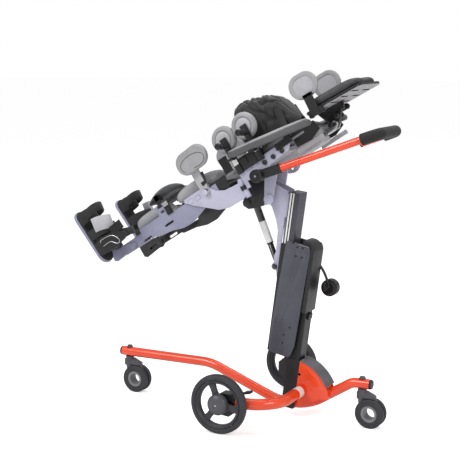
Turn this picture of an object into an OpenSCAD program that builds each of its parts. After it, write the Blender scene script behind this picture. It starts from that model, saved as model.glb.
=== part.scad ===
// Pediatric standing frame: a padded tilting board on a leaning lift column and a four-wheeled tube base.
// X runs from the foot end to the head end, Y across, Z up, with the floor at Z = 0.

/* [Base tubes] */
// Outer diameter of the long spine tube
spine_d = 34; // [28:1:40]
// Wall of the red tubes
tube_wall = 2.5; // [1.5:0.5:4]
// Height of the spine's level ends above the floor
spine_z = 147; // [140:1:160]
// Height of the spine's axis at its lowest point
spine_low_z = 46; // [42:1:52]
// Distance from the big wheels' axle back to the spine's lowest point
spine_low_x = 118; // [110:1:125]
// Slope of the front half of the spine, in degrees
front_slope = 21; // [18:1:24]
// Slope of the rear half of the spine, in degrees
rear_slope = 32; // [29:1:34]
// Length of the spine's short level run at its lowest point
low_run = 18; // [10:2:30]
// Radius of the spine's two low bends
low_bend_r = 200; // [180:5:220]
// Radius of the bend where the front slope starts
front_bend_r = 180; // [140:10:200]
// Radius of the bend where the rear slope ends
rear_bend_r = 60; // [50:5:70]
// Outer diameter of the cross tube
cross_d = 38; // [32:1:42]
// Radius of the cross tube's two bends
cross_bend_r = 110; // [90:5:130]
// Distance from the axle back to the cross tube's middle run
cross_x = 178; // [176:1:186]

/* [Wheels] */
// Diameter of the big side wheels
wheel_d = 200; // [180:5:220]
// Distance between the middle planes of the big wheels
track = 575; // [540:5:620]
// Width of the big wheels' tyres
tyre_w = 32; // [26:1:38]
// Depth of the tyre outside the rim
tyre_h = 20; // [14:1:24]
// Diameter of the castor wheels
castor_d = 100; // [90:5:110]
// Width over a castor's two wheels
castor_w = 42; // [36:1:50]
// Distance from a castor's kingpin back to its wheel axis
castor_trail = 31; // [26:1:36]
// Distance from the axle forward to the front kingpin
front_pin_x = 522; // [480:2:540]
// Distance from the axle back to the rear kingpin
rear_pin_x = 389; // [385:1:392]

/* [Column] */
// Lean of the column towards the head end, in degrees
lean = 7.8; // [5:0.2:10]
// Depth of the mast along X
mast_depth = 44; // [40:1:46]
// Width of the mast across
mast_w = 55; // [50:1:60]
// Height of the mast along its own axis
mast_h = 485; // [440:5:520]
// Depth of the sliding column
slide_depth = 36; // [32:1:38]
// Width of the sliding column
slide_w = 62; // [56:1:64]
// Length of the sliding column
slide_len = 452; // [400:4:480]
// Height of the sliding column's top along the mast's axis
slide_top = 712; // [700:4:740]
// Thickness of the side covers
cover_t = 6; // [4:0.5:8]

/* [Board] */
// Tilt of the board above level, in degrees
tilt = 33; // [20:1:45]
// Outside half width of the board over its side plates
board_half = 127.6; // [124:0.2:135]
// Thickness of the side plates
plate_t = 5; // [4:0.5:6]
// Width of the trunk cushion
trunk_w = 180; // [150:5:180]
// Length of the trunk cushion
trunk_len = 296; // [270:4:300]
// Thickness of the trunk cushion
trunk_t = 42; // [30:2:50]
// Length of a thigh cushion
thigh_len = 196; // [160:4:204]
// Length of a calf cushion
calf_len = 150; // [110:5:155]
// Thickness of the leg cushions
leg_pad_t = 42; // [34:1:44]
// Length of a foot's sole
sole_len = 208; // [180:4:220]
// Width of a foot's sole
sole_w = 74; // [60:2:74]
// Thickness of a foot's sole
sole_t = 18; // [14:1:22]
// How much further the far leg is drawn out than the near one
far_reach = 42; // [20:2:50]

/* [Head and side supports] */
// Length of the head cushion
head_len = 214; // [180:2:220]
// Width of the head cushion
head_w = 210; // [160:5:220]
// Thickness of the head cushion
head_t = 30; // [24:1:36]
// Diameter of the round trunk supports
lateral_d = 93; // [80:1:96]
// Thickness of the round trunk supports
lateral_t = 28; // [20:1:30]

/* [Push handle] */
// Diameter of the handle's tube
handle_d = 25; // [22:1:28]
// Distance between the handle's two legs
handle_w = 200; // [180:2:220]
// Length of the handle's long leg
handle_len = 392; // [340:4:420]
// Length of the handle's short return leg
handle_back = 96; // [70:2:120]
// Diameter of the foam grip
grip_d = 38; // [32:1:42]

/* [Hidden] */
$fn = 48;

// Clearances and small common sizes
gap = 0.3;
turn_gap = 0.05;
seam = 0.02;
cut = 1;
near = -1;
far = 1;
axle_z = wheel_d / 2;
// The whole part is moved so that its origin is under the middle of its bounding box
middle_x = -92.23;

// Spine tube
spine_r = spine_d / 2;
spine_drop = spine_z - spine_low_z;
front_run = (spine_drop - (front_bend_r + low_bend_r) * (1 - cos(front_slope))) / sin(front_slope);
rear_run = (spine_drop - (rear_bend_r + low_bend_r) * (1 - cos(rear_slope))) / sin(rear_slope);
front_level_x = spine_low_x - (low_bend_r + front_bend_r) * sin(front_slope) - front_run * cos(front_slope);
rear_level_x = spine_low_x + low_run + (low_bend_r + rear_bend_r) * sin(rear_slope)
    + rear_run * cos(rear_slope);
pin_overhang = 27;
spine_front_x = -front_pin_x - pin_overhang;
spine_rear_x = rear_pin_x + pin_overhang;
front_level = front_level_x - spine_front_x;
rear_level = spine_rear_x - rear_level_x;
spine_steps = [[front_level, front_slope, front_bend_r, 1],
               [front_run, front_slope, low_bend_r, -1],
               [low_run, rear_slope, low_bend_r, -1],
               [rear_run, rear_slope, rear_bend_r, 1],
               [rear_level, 0, 0, 1]];

// Cross tube
cross_r = cross_d / 2;
cross_z = axle_z;
wheel_reach = 41.5;
cross_leg_y = track / 2 - wheel_reach;
cross_leg_x = 12;
cross_leg = cross_x - cross_bend_r - cross_leg_x;
cross_mid = 2 * (cross_leg_y - cross_bend_r);
cross_steps = [[cross_leg, 90, cross_bend_r, 1], [cross_mid, 90, cross_bend_r, 1], [cross_leg, 0, 0, 1]];

// Column frame
column_x = 129;
column_z = 60;
mast_wall = 3;
mast_back = mast_depth / 2;
mast_foot = -26;
guide_gap = 0.4;
guide_wall = 4;
slide_x = -75;
guide_depth = slide_depth + 2 * (guide_gap + guide_wall);
guide_w = slide_w + 2 * (guide_gap + guide_wall);
guide_foot = 160;
guide_front = slide_x - guide_depth / 2;
slide_wall = 3;
slide_cap = 5;

// Gusset and tread
gusset_w = 60;
gusset_t = 3;
tread_t = 6;
tread_w = 66;

// Castors
pin_d = 10;
stem_d = 30;
stem_gap = 0.3;
stem_foot = 97;
web_t = 8;
web_share = 0.78;
ring_d = 56;
eye_d = 40;
castor_hub_z = castor_d / 2;
castor_shoulder = 5;
roll_gap = 0.1;

// Big wheels
rim_r = wheel_d / 2 - tyre_h;
rim_t = 11;
wheel_hub_r = 30;
axle_d = 12;
spoke_w = 24;
spoke_t = 12;
spoke_angles = [110, 230, 350];
dome_r = 35;
dome_h = 14;
dome_hole_r = 4;
tyre_round = 9;

// Pivot of the board on the sail plates, and the actuator's two ends, in the axle's frame
pivot_x = 65;
pivot_z = 751;
ram_top_x = -12;
ram_top_z = 736;
ram_foot_x = 77;
ram_foot_z = 521;
ram_len = norm([ram_top_x - ram_foot_x, ram_top_z - ram_foot_z]);
ram_lean = atan2(ram_top_x - ram_foot_x, ram_top_z - ram_foot_z);
ram_d = 25;
rod_d = 20;
ram_start = 78;
ram_stop = 214;
rod_stop = 147;
pivot_pin_d = 16;

// Board frame: u along the board, y across, w out of its padded face
arm_t = 8;
plate_in = board_half - plate_t;
arm_out = plate_in - gap;
arm_in = arm_out - arm_t;
hip_u = -22;
knuckle_r = 9;
knuckle_low = 36;
knuckle_high = 95;
rail_low = 64;
rail_high = 108;
rail_w = 60;
rail_start = 30;
rail_end = 276;
panel_w0 = 112;
panel_t = 8;
panel_start = -38;
cushion_w0 = panel_w0 + panel_t + gap;

// Soft parts: share of the outline at each height, from the back to the crown
pad_rise_shares = [0, 0.12, 0.38, 0.66, 0.86, 0.97, 1];
pad_size_shares = [0.9, 0.975, 1, 0.985, 0.9, 0.66, 0.3];
pad_sides = 36;

// Straight round bar or tube along Z
module bar(length, r, bore_r = 0) {
    difference() {
        cylinder(h = length, r = r);
        if (bore_r > 0) translate([0, 0, -cut]) cylinder(h = length + 2 * cut, r = bore_r);
    }
}

// Round bar across Y between two planes
module across(y0, y1, r) {
    translate([0, min(y0, y1), 0]) rotate([-90, 0, 0]) cylinder(h = abs(y1 - y0), r = r);
}

// Bent round bar or tube: each step is a straight length, a bend angle, its radius and the side that it bends to.
// A hairline seam at each bend that isn't square keeps its runs exact solids.
function seam_at(steps, i) = i < 0 || steps[i][1] % 90 == 0 ? 0 : seam;

module bent_bar(steps, r, bore_r = 0, i = 0) {
    if (i < len(steps)) {
        run = steps[i][0];
        turn = steps[i][1];
        bend = steps[i][2];
        side = steps[i][3];
        translate([seam_at(steps, i - 1), 0, 0]) rotate([0, 90, 0])
            bar(run - seam_at(steps, i - 1) - seam_at(steps, i), r, bore_r);
        translate([run, 0, 0]) {
            if (turn > 0) {
                rotate([side < 0 ? 180 : 0, 0, 0])
                    translate([0, bend, 0]) rotate([0, 0, -90])
                        rotate_extrude(angle = turn, $fn = 96) translate([bend, 0]) difference() {
                            circle(r = r);
                            if (bore_r > 0) circle(r = bore_r);
                        }
                translate([bend * sin(turn), side * bend * (1 - cos(turn)), 0])
                    rotate([0, 0, side * turn]) bent_bar(steps, r, bore_r, i + 1);
            } else bent_bar(steps, r, bore_r, i + 1);
        }
    }
}

// Plate across Y with a drawn outline in X and Z
module plate_y(y0, y1) {
    translate([0, max(y0, y1), 0]) rotate([90, 0, 0]) linear_extrude(height = abs(y1 - y0)) children();
}

// Rectangle with round corners, exact arcs
module round_rect(size, r) {
    translate([r, 0]) square([size[0] - 2 * r, size[1]]);
    translate([0, r]) square([size[0], size[1] - 2 * r]);
    for (x = [r, size[0] - r], y = [r, size[1] - r]) translate([x, y]) circle(r = r);
}

// Slot with round ends, centred, along X
module slot(length, width) {
    square([length - width, width], center = true);
    for (s = [-1, 1]) translate([s * (length - width) / 2, 0]) circle(d = width);
}

// Places in the three frames that the pieces are drawn in
module in_axle_frame() {
    translate([-middle_x, 0, 0]) children();
}

module in_column_frame() {
    in_axle_frame() translate([column_x, 0, column_z]) rotate([0, lean, 0]) children();
}

module in_board_frame() {
    in_axle_frame() translate([pivot_x, 0, pivot_z]) rotate([0, -tilt, 0]) children();
}

module in_head_frame() {
    in_board_frame() translate([head_pivot_u, 0, head_pivot_w]) rotate([0, head_drop, 0]) children();
}

// Places on the near and far sides
module both_sides() {
    for (s = [near, far]) mirror([0, s > 0 ? 1 : 0, 0]) children();
}

module on_side(s) {
    mirror([0, s > 0 ? 1 : 0, 0]) children();
}

// Outline of a cushion: a rounded oblong whose sides are drawn in between the corners.
// A shape lists the outline's power, how far its sides are drawn in, the crown and the rise of its edges.
function sign_of(v) = v < 0 ? -1 : 1;
function pad_point(a, l, w, power, pull) =
    let (draw = 1 - pull * pow(cos(2 * a), 2))
    [sign_of(cos(a)) * pow(abs(cos(a)), power) * l / 2 * draw,
     sign_of(sin(a)) * pow(abs(sin(a)), power) * w / 2 * draw];

// Cushion from z = 0 with a crowned face
module cushion(l, w, t, shape) {
    rings = len(pad_rise_shares);
    crown = shape[2];
    edge_rise = shape[3];
    function bulge(p) = 1 - crown * pow(2 * norm([p[0] / l, p[1] / w]), 2);
    function lift(p, k) = pad_rise_shares[k] * (t * bulge(p) + edge_rise * pow(2 * p[1] / w, 2));
    points = concat(
        [for (k = [0 : rings - 1], i = [0 : pad_sides - 1])
            let (p = pad_point(360 * i / pad_sides, l, w, shape[0], shape[1]) * pad_size_shares[k])
            [p[0], p[1], lift(p, k)]],
        [[0, 0, 0], [0, 0, t]]);
    walls = [for (k = [0 : rings - 2], i = [0 : pad_sides - 1]) let (j = (i + 1) % pad_sides)
        each [[k * pad_sides + i, (k + 1) * pad_sides + j, k * pad_sides + j],
              [k * pad_sides + i, (k + 1) * pad_sides + i, (k + 1) * pad_sides + j]]];
    back = [for (i = [0 : pad_sides - 1]) [rings * pad_sides, i, (i + 1) % pad_sides]];
    front = [for (i = [0 : pad_sides - 1])
        [rings * pad_sides + 1, (rings - 1) * pad_sides + (i + 1)
                % pad_sides, (rings - 1) * pad_sides + i]];
    polyhedron(points = points, faces = concat(walls, back, front), convexity = 4);
}

// Outline from shares of a length and a height
function outline(shares, size) = [for (p = shares) [p[0] * size[0], p[1] * size[1]]];

// Section of a tyre with round shoulders, from its inner to its outer radius
module tyre_section(r0, r1, w, shoulder) {
    translate([r0, 0]) square([r1 - r0 - shoulder, w]);
    translate([r0, shoulder]) square([r1 - r0, w - 2 * shoulder]);
    for (y = [shoulder, w - shoulder]) translate([r1 - shoulder, y]) circle(r = shoulder);
}

// Block between two corners, given as sizes
module block(from, to) {
    translate(from) cube([for (i = [0 : 2]) to[i] - from[i]]);
}

// Hexagon bolt head on a round washer face, along Z
module bolt_head(across_flats, height) {
    cylinder(h = height, r = across_flats / 2 / cos(30), $fn = 6);
}

// Base

module spine_axis() {
    in_axle_frame() translate([spine_front_x, 0, spine_z]) rotate([-90, 0, 0]) children();
}

module spine_solid() {
    spine_axis() bent_bar(spine_steps, spine_r);
}

module cross_axis() {
    in_axle_frame() translate([cross_leg_x, -cross_leg_y, cross_z]) children();
}

module cross_solid() {
    cross_axis() bent_bar(cross_steps, cross_r);
}

module at_kingpins() {
    in_axle_frame() for (x = [-front_pin_x, rear_pin_x]) translate([x, 0, 0]) children();
}

// Long tube from the front castor, down under the column and up to the rear castor
module spine_tube() {
    color("orangered") difference() {
        spine_axis() bent_bar(spine_steps, spine_r, spine_r - tube_wall);
        at_kingpins() translate([0, 0, spine_z - spine_d]) bar(2 * spine_d, pin_d / 2 + gap);
    }
}

// U-shaped tube that carries the two big wheels
module cross_tube() {
    color("orangered") cross_axis() bent_bar(cross_steps, cross_r, cross_r - tube_wall);
}

tread_r = 147;
tread_x = 137;
tread_z = 62;
tread_from_deg = 25;
tread_turn_deg = 49;
gusset_foot_z = 112;
gusset_rib_x = 216;
gusset_end_x = 262;
saddle_l = 24;
gusset_hole_z = 157;

module ring_sector(r0, r1, start, sweep) {
    far_out = 2 * r1;
    intersection() {
        difference() {
            circle(r = r1, $fn = 96);
            circle(r = r0, $fn = 96);
        }
        polygon([[0, 0], [far_out * cos(start), far_out * sin(start)],
                 [far_out * cos(start + sweep / 2), far_out * sin(start + sweep / 2)],
                 [far_out * cos(start + sweep), far_out * sin(start + sweep)]]);
    }
}

module gusset_outline() {
    intersection() {
        translate([tread_x, tread_z]) circle(r = tread_r, $fn = 96);
        translate([column_x, gusset_foot_z]) square(2 * tread_r);
    }
}

// Welded box between the column's foot, the cross tube and the spine's rear slope
module gusset() {
    half = gusset_w / 2;
    color("orangered") difference() {
        union() {
            in_axle_frame() {
                for (s = [-1, 1]) plate_y(s * half, s * (half - gusset_t)) gusset_outline();
                for (x = [gusset_rib_x, gusset_end_x]) plate_y(-half + gusset_t, half - gusset_t)
                    intersection() {
                        gusset_outline();
                        translate([x, 0]) square([2 * gusset_t, 2 * tread_r]);
                    }
                block([cross_x - saddle_l / 2, -saddle_l / 2, spine_low_z],
                      [cross_x + saddle_l / 2, saddle_l / 2, cross_z]);
            }
        }
        mast_envelope();
        spine_solid();
        cross_solid();
        in_axle_frame() translate([column_x + mast_depth, 0, gusset_hole_z])
            across(-half - cut, half - cut, pin_d / 2);
    }
}

// Curved strip over the gusset, where the carer's foot steps
module tread_cover() {
    color("silver") in_axle_frame() plate_y(-tread_w / 2, tread_w / 2) translate([tread_x, tread_z])
        ring_sector(tread_r, tread_r + tread_t, tread_from_deg, tread_turn_deg);
}

cap_t = 8;
plug_l = 14;

// Caps in the ends of the spine
module end_caps() {
    color("dimgray") in_axle_frame() for (e = [[spine_front_x, -1], [spine_rear_x, 1]])
        translate([e[0], 0, spine_z]) rotate([0, 90 * e[1], 0]) {
            cylinder(h = cap_t, r1 = spine_r, r2 = spine_r - cap_t / 4);
            translate([0, 0, -plug_l]) cylinder(h = plug_l, r = spine_r - tube_wall);
        }
}

pin_head = 17;
pin_head_h = 7;
washer_t = 2;
washer_r = 12;
pin_low_z = castor_d + 2 * cut;

// Kingpin bolts of the two castors
module base_bolts() {
    color("dimgray") at_kingpins() {
        translate([0, 0, pin_low_z]) cylinder(h = spine_z + spine_r - pin_low_z, r = pin_d / 2);
        translate([0, 0, spine_z + spine_r]) {
            cylinder(h = washer_t, r = washer_r);
            bolt_head(pin_head, pin_head_h);
        }
    }
}

// Castors

castor_half = castor_w / 2;
web_r = web_share * castor_d / 2;
neck_w = 26;
wheel_gap = 0.6;

module castor_frame(pin_x) {
    in_axle_frame() translate([pin_x, 0, 0]) children();
}

// Swivelling body: a ring that the wheels run on, a web between them and the stem
module castor_fork(pin_x) {
    stem_top = spine_z - spine_r - stem_gap;
    color("dimgray") castor_frame(pin_x) difference() {
        union() {
            translate([castor_trail, 0, castor_hub_z]) {
                across(-castor_half + wheel_gap, castor_half - wheel_gap, ring_d / 2);
                across(-web_t / 2, web_t / 2, web_r);
            }
            translate([0, 0, stem_foot]) cylinder(h = stem_top - stem_foot, r = stem_d / 2);
            plate_y(-neck_w / 2, neck_w / 2) polygon([
                [-stem_d / 2, stem_foot], [stem_d / 2, castor_d + cut], [castor_trail + stem_d / 2,
                        castor_d + cut],
                [castor_trail + stem_d / 2, castor_d + web_t], [stem_d / 2, stem_top - web_t],
                [-stem_d / 2, stem_top - web_t]]);
            plate_y(-web_t / 2, web_t / 2) polygon([
                [castor_trail - web_r, castor_hub_z], [-stem_d / 2, stem_foot], [-stem_d / 2,
                        castor_d + web_t],
                [castor_trail + stem_d / 2, castor_d + web_t], [castor_trail + web_r, castor_hub_z]]);
        }
        translate([castor_trail, -castor_half, castor_hub_z]) rotate([-90, 0, 0])
            translate([0, 0, -cut]) cylinder(h = castor_w + 2 * cut, r = eye_d / 2);
        translate([0, 0, pin_low_z - cut]) cylinder(h = castor_d, r = pin_d / 2 + turn_gap);
    }
}

// Two tyred rings on the castor's hollow hub, as one turning pair
module castor_wheels(pin_x) {
    tread_l = castor_half - web_t / 2 - wheel_gap;
    color("gray") castor_frame(pin_x) translate([castor_trail, 0, castor_hub_z]) for (s = [-1, 1])
        rotate([-90 * s, 0, 0]) translate([0, 0, web_t / 2 + wheel_gap])
            rotate_extrude($fn = 96) tyre_section(ring_d / 2 + roll_gap, castor_d / 2, tread_l,
                    castor_shoulder);
}

// Big wheels

hub_half = 15;
hub_in = track / 2 - hub_half;
hub_out = track / 2 + hub_half;
housing_wall = 2;
housing_in = cross_leg_y - cross_r - housing_wall;
housing_out = cross_leg_y + cross_r + housing_wall;
axle_boss_r = 24;
housing_front = 24;
housing_size = [70, 76];
housing_shares = [[0, 0.3], [0.2, 0.05], [0.7, 0], [1, 0.2], [1, 0.85], [0.8, 1], [0.25, 1], [0, 0.8]];

module wheel_frame(s) {
    in_axle_frame() on_side(s) translate([0, -track / 2, axle_z]) rotate([90, 0, 0]) children();
}

// Castings on the cross tube's ends, each with its stub axle
module hub_housings() {
    color("dimgray") difference() {
        in_axle_frame() both_sides() {
            translate([-housing_front, 0, axle_z - housing_size[1] / 2 - web_t])
                plate_y(-housing_in, -housing_out) polygon(outline(housing_shares, housing_size));
            translate([0, 0, axle_z]) {
                across(-housing_in, -hub_in + wheel_gap, axle_boss_r);
                across(-housing_in, -hub_out, axle_d / 2);
            }
        }
        cross_solid();
        in_axle_frame() both_sides() translate([pedal_x, 0, pedal_z])
            across(-housing_in + cut, -housing_in - pedal_pin_l, pedal_pin_r + turn_gap);
    }
}

// Spoked wheel with a domed hub cap
module big_wheel(s) {
    dome_sphere = (dome_r * dome_r + dome_h * dome_h) / 2 / dome_h;
    color("dimgray") wheel_frame(s) difference() {
        union() {
            translate([0, 0, -hub_half]) cylinder(h = 2 * hub_half, r = wheel_hub_r);
            rotate_extrude($fn = 96) translate([rim_r - rim_t, -tyre_w / 2 + cut])
                    square([rim_t, tyre_w - 2 * cut]);
            for (a = spoke_angles) rotate([0, 0, a]) translate([0, -spoke_w / 2, -spoke_t / 2])
                cube([rim_r - rim_t / 2, spoke_w, spoke_t]);
            translate([0, 0, hub_half]) intersection() {
                cylinder(h = dome_h, r = dome_r);
                translate([0, 0, dome_h - dome_sphere]) sphere(r = dome_sphere, $fn = 96);
            }
            cylinder(h = hub_half, r = dome_r);
        }
        translate([0, 0, -hub_half - cut]) cylinder(h = 2 * hub_half + cut, r = axle_d / 2 + turn_gap);
        translate([0, 0, hub_half - cut]) cylinder(h = dome_h + 2 * cut, r = dome_hole_r);
    }
}

module tyre(s) {
    color("gray") wheel_frame(s) translate([0, 0, -tyre_w / 2])
        rotate_extrude($fn = 96) tyre_section(rim_r, wheel_d / 2, tyre_w, tyre_round);
}

pedal_x = 22;
pedal_z = 119;
pedal_pin_r = 4;
pedal_pin_l = 8;
pedal_t = 6;
pedal_len = 62;
pedal_w = 22;
pedal_rise = 12;

// Foot lever of a wheel brake
module brake_pedal(s) {
    face = housing_in - gap;
    color("black") in_axle_frame() on_side(s) translate([pedal_x, 0, pedal_z]) {
        across(-face + pedal_t, -housing_in - pedal_pin_l + gap, pedal_pin_r);
        rotate([0, -pedal_rise, 0]) {
            across(-face, -face + pedal_t, pedal_w / 2);
            block([0, -face, -pedal_pin_r], [pedal_len, -face + pedal_t, pedal_pin_r]);
            block([pedal_len - pedal_w, -face, -pedal_pin_r], [pedal_len, -face + pedal_w, pedal_pin_r]);
        }
    }
}

// Column

post_step = 318;
spine_post_w = 48;
spine_post_back = 8;
guide_over = 51;
mast_top = mast_h + guide_over;
rail_web_y = 24;

module mast_envelope() {
    in_column_frame() block([-mast_back, -mast_w / 2, mast_foot], [mast_back, mast_w / 2, post_step]);
}

// Box post with the open guide that the sliding column runs in
module mast() {
    color("dimgray") difference() {
        in_column_frame() {
            difference() {
                block([-mast_back, -mast_w / 2, mast_foot], [mast_back, mast_w / 2, post_step]);
                block([-mast_back + mast_wall, -mast_w / 2 + mast_wall, mast_foot - cut],
                      [mast_back - mast_wall, mast_w / 2 - mast_wall, post_step - mast_wall]);
                block([mast_back - 2 * mast_wall, -latch_tongue_w / 2 - gap, latch_z - gap],
                      [mast_back + cut, latch_tongue_w / 2 + gap, latch_z + latch_h + latch_travel + gap]);
            }
            block([-mast_back, -spine_post_w / 2, post_step - mast_wall], [spine_post_back,
                    spine_post_w / 2, mast_top]);
            difference() {
                block([guide_front, -guide_w / 2, guide_foot], [guide_front + guide_depth, guide_w / 2,
                        mast_top]);
                block([guide_front + guide_wall, -guide_w / 2 + guide_wall, guide_foot - cut],
                      [guide_front + guide_depth - guide_wall, guide_w / 2 - guide_wall, mast_top + cut]);
            }
            for (s = [-1, 1]) block([guide_front + guide_depth, s * rail_web_y - guide_wall / 2,
                    guide_foot],
                                    [-mast_back, s * rail_web_y + guide_wall / 2, mast_top]);
        }
        spine_solid();
        cross_solid();
    }
}

cover_len = 107;
cover_h = 398;
cover_front = -95;
cover_foot = 153;
cover_shares = [[0, 0.12], [0.06, 0.03], [0.12, 0.01], [0.74, 0], [0.82, 0.03], [0.9, 0.11], [1, 0.9],
                [0.99, 0.96], [0.94, 0.985], [0.22, 1], [0.17, 0.985], [0.15, 0.95]];
hole_pitch_x = 20;
hole_pitch_z = 32;
hole_mid_x = -26;
hole_mid_z = 520.5;
hole_r = 2.5;

// Flat covers on both faces of the mast, the near one with four threaded holes for accessories
module side_covers() {
    color("darkslateblue") difference() {
        in_column_frame() for (s = [-1, 1]) translate([cover_front, 0, cover_foot])
            plate_y(s * guide_w / 2, s * (guide_w / 2 + cover_t))
                    polygon(outline(cover_shares, [cover_len, cover_h]));
        in_column_frame() {
            for (i = [-1, 1], k = [-1, 1])
                translate([hole_mid_x + i * hole_pitch_x / 2, 0, hole_mid_z + k * hole_pitch_z / 2])
                    across(-guide_w / 2 + cut, -guide_w / 2 - cover_t - cut, hole_r);
            translate([crank_x, 0, crank_z]) across(guide_w / 2 - cut, guide_w / 2 + cover_t + cut,
                    crank_pin_r + turn_gap);
        }
    }
}

shell_front = -20;
shell_back = 25;
shell_step = 12.5;
shell_foot = post_step + gap;
shell_h = 242;
shell_round = 34;
shell_edge = 8;
shell_wall = 3;
shell_in_w = guide_w - 2 * gap;
shell_out_w = guide_w + 2 * cover_t;

module shell_body(inset) {
    intersection() {
        union() {
            block([shell_front - (inset > 0 ? cut : 0), -shell_in_w / 2 + inset, shell_foot + inset],
                  [shell_step + shell_edge, shell_in_w / 2 - inset, shell_foot + shell_h - inset]);
            block([shell_step + inset, -shell_out_w / 2 + inset, shell_foot + inset],
                  [shell_back - inset, shell_out_w / 2 - inset, shell_foot + shell_h - inset]);
        }
        translate([shell_front - cut, 0, shell_foot]) plate_y(-shell_out_w, shell_out_w) {
            square([shell_back - shell_front + cut - inset, shell_h - shell_round]);
            square([shell_back - shell_front + cut - shell_round, shell_h - inset]);
            translate([shell_back - shell_front + cut - shell_round, shell_h - shell_round])
                circle(r = shell_round - inset);
        }
    }
}

// Battery and drive casing behind the mast, open to the front
module battery_shell() {
    color("lightgray") in_column_frame() difference() {
        shell_body(0);
        shell_body(shell_wall);
        block([shell_front - cut, -spine_post_w / 2 - gap, shell_foot - cut],
              [spine_post_back + gap, spine_post_w / 2 + gap, mast_top + gap]);
        translate([crank_x, 0, crank_z]) across(0, guide_w, crank_pin_r + gap);
    }
}

latch_w = 28;
latch_h = 20;
latch_z = 292;
latch_t = 8;
latch_travel = 5;
latch_tongue_w = 10;

// Sliding catch that lets the battery off
module battery_latch() {
    color("black") in_column_frame() {
        block([mast_back + gap, -latch_w / 2, latch_z], [mast_back + gap + latch_t, latch_w / 2,
                latch_z + latch_h]);
        block([mast_back - mast_wall + gap, -latch_tongue_w / 2, latch_z],
              [mast_back + gap, latch_tongue_w / 2, latch_z + latch_h]);
    }
}

crank_x = 2;
crank_z = 485;
crank_pin_r = 6;
crank_hub_r = 12;
crank_hub_t = 10;
crank_arm_d = 9;
crank_first = 22;
crank_last = 22;
crank_bend = 25;
crank_bend_r = 140;
crank_start = 42;
crank_knob_r = 29;
crank_knob_t = 27;
crank_steps = [[crank_first, crank_bend, crank_bend_r, 1], [crank_last, 0, 0, 1]];
crank_face = guide_w / 2 + cover_t + gap;
crank_end_x = crank_first * cos(crank_start) + crank_bend_r * (sin(crank_start + crank_bend) - sin(crank_start))
    + crank_last * cos(crank_start + crank_bend);
crank_end_z = crank_first * sin(crank_start) + crank_bend_r * (cos(crank_start) - cos(crank_start + crank_bend))
    + crank_last * sin(crank_start + crank_bend);

// Hand crank on the far side, for moving the drive without power
module crank() {
    color("black") in_column_frame() translate([crank_x, 0, crank_z]) {
        across(guide_w / 2, crank_face + crank_hub_t, crank_pin_r);
        across(crank_face, crank_face + crank_hub_t, crank_hub_r);
        translate([0, crank_face + crank_hub_t / 2, 0]) rotate([-90, 0, 0]) rotate([0, 0, crank_start])
            bent_bar(crank_steps, crank_arm_d / 2);
        translate([crank_end_x, 0, -crank_end_z])
            across(crank_face + crank_hub_t / 2, crank_face + crank_hub_t / 2 + crank_knob_t, crank_knob_r);
    }
}

// Lift

slide_foot = slide_top - slide_len;
slide_front = slide_x - slide_depth / 2;

// Inner column that raises and lowers the board
module lift_column() {
    color("slategray") in_column_frame() difference() {
        block([slide_front, -slide_w / 2, slide_foot], [slide_front + slide_depth, slide_w / 2, slide_top]);
        block([slide_front + slide_wall, -slide_w / 2 + slide_wall, slide_foot - cut],
              [slide_front + slide_depth - slide_wall, slide_w / 2 - slide_wall, slide_top - slide_cap]);
    }
}

sail_y = 22;
sail_t = 5;
sail_len = 90;
sail_back = -102;
sail_foot_z = 413;
sail_over = 59;
pivot_mark_z = (pivot_x - column_x) * sin(lean) + (pivot_z - column_z) * cos(lean);
sail_h = pivot_mark_z + sail_over - sail_foot_z;
sail_shares = [[1, 0], [0.95, 0.06], [0.79, 0.12], [0.78, 0.22], [0.83, 0.28], [0.79, 0.5], [0.66, 0.61],
               [0.43, 0.73], [0.14, 0.8], [0, 0.97], [0.05, 1], [0.17, 1], [1, 0.93]];
sail_join_z = 624;
sail_join_h = 80;
pivot_boss_r = 16;
ram_lug_r = 13;
ram_pin_r = 6;
ram_pin_head_r = 9;

module at_board_pivot() {
    in_axle_frame() translate([pivot_x, 0, pivot_z]) children();
}

module at_ram_foot() {
    in_axle_frame() translate([ram_foot_x, 0, ram_foot_z]) children();
}

module ram_frame() {
    at_ram_foot() rotate([0, ram_lean, 0]) children();
}

// The actuator's foot in the column's frame
ram_foot_dx = ram_foot_x - column_x;
ram_foot_dz = ram_foot_z - column_z;
ram_foot_mark = [ram_foot_dx * cos(lean) - ram_foot_dz * sin(lean),
                 ram_foot_dx * sin(lean) + ram_foot_dz * cos(lean)];

// Twin plates in front of the sliding column that carry the board's pivot and the actuator's foot
module sail_plates() {
    color("lightsteelblue") difference() {
        union() {
            in_column_frame() {
                for (s = [-1, 1]) plate_y(s * sail_y, s * (sail_y + sail_t)) difference() {
                    union() {
                        translate([sail_back - sail_len, sail_foot_z])
                                polygon(outline(sail_shares, [sail_len, sail_h]));
                        translate(ram_foot_mark) circle(r = ram_lug_r);
                    }
                    translate(ram_foot_mark) circle(r = ram_pin_r);
                }
                block([sail_back, -sail_y - sail_t, sail_join_z], [slide_front, sail_y + sail_t,
                        sail_join_z + sail_join_h]);
                block([sail_back - 2 * sail_t, -sail_y - sail_t, sail_join_z], [sail_back,
                        sail_y + sail_t, sail_join_z + sail_join_h / 2]);
            }
            at_board_pivot() across(-sail_y - sail_t, sail_y + sail_t, pivot_boss_r);
        }
        at_board_pivot() across(-sail_y - sail_t - cut, sail_y + sail_t + cut, pivot_pin_d / 2 + turn_gap);
    }
}

ram_eye_w = 2 * sail_y - 2 * gap;
pin_end = 4;

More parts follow.
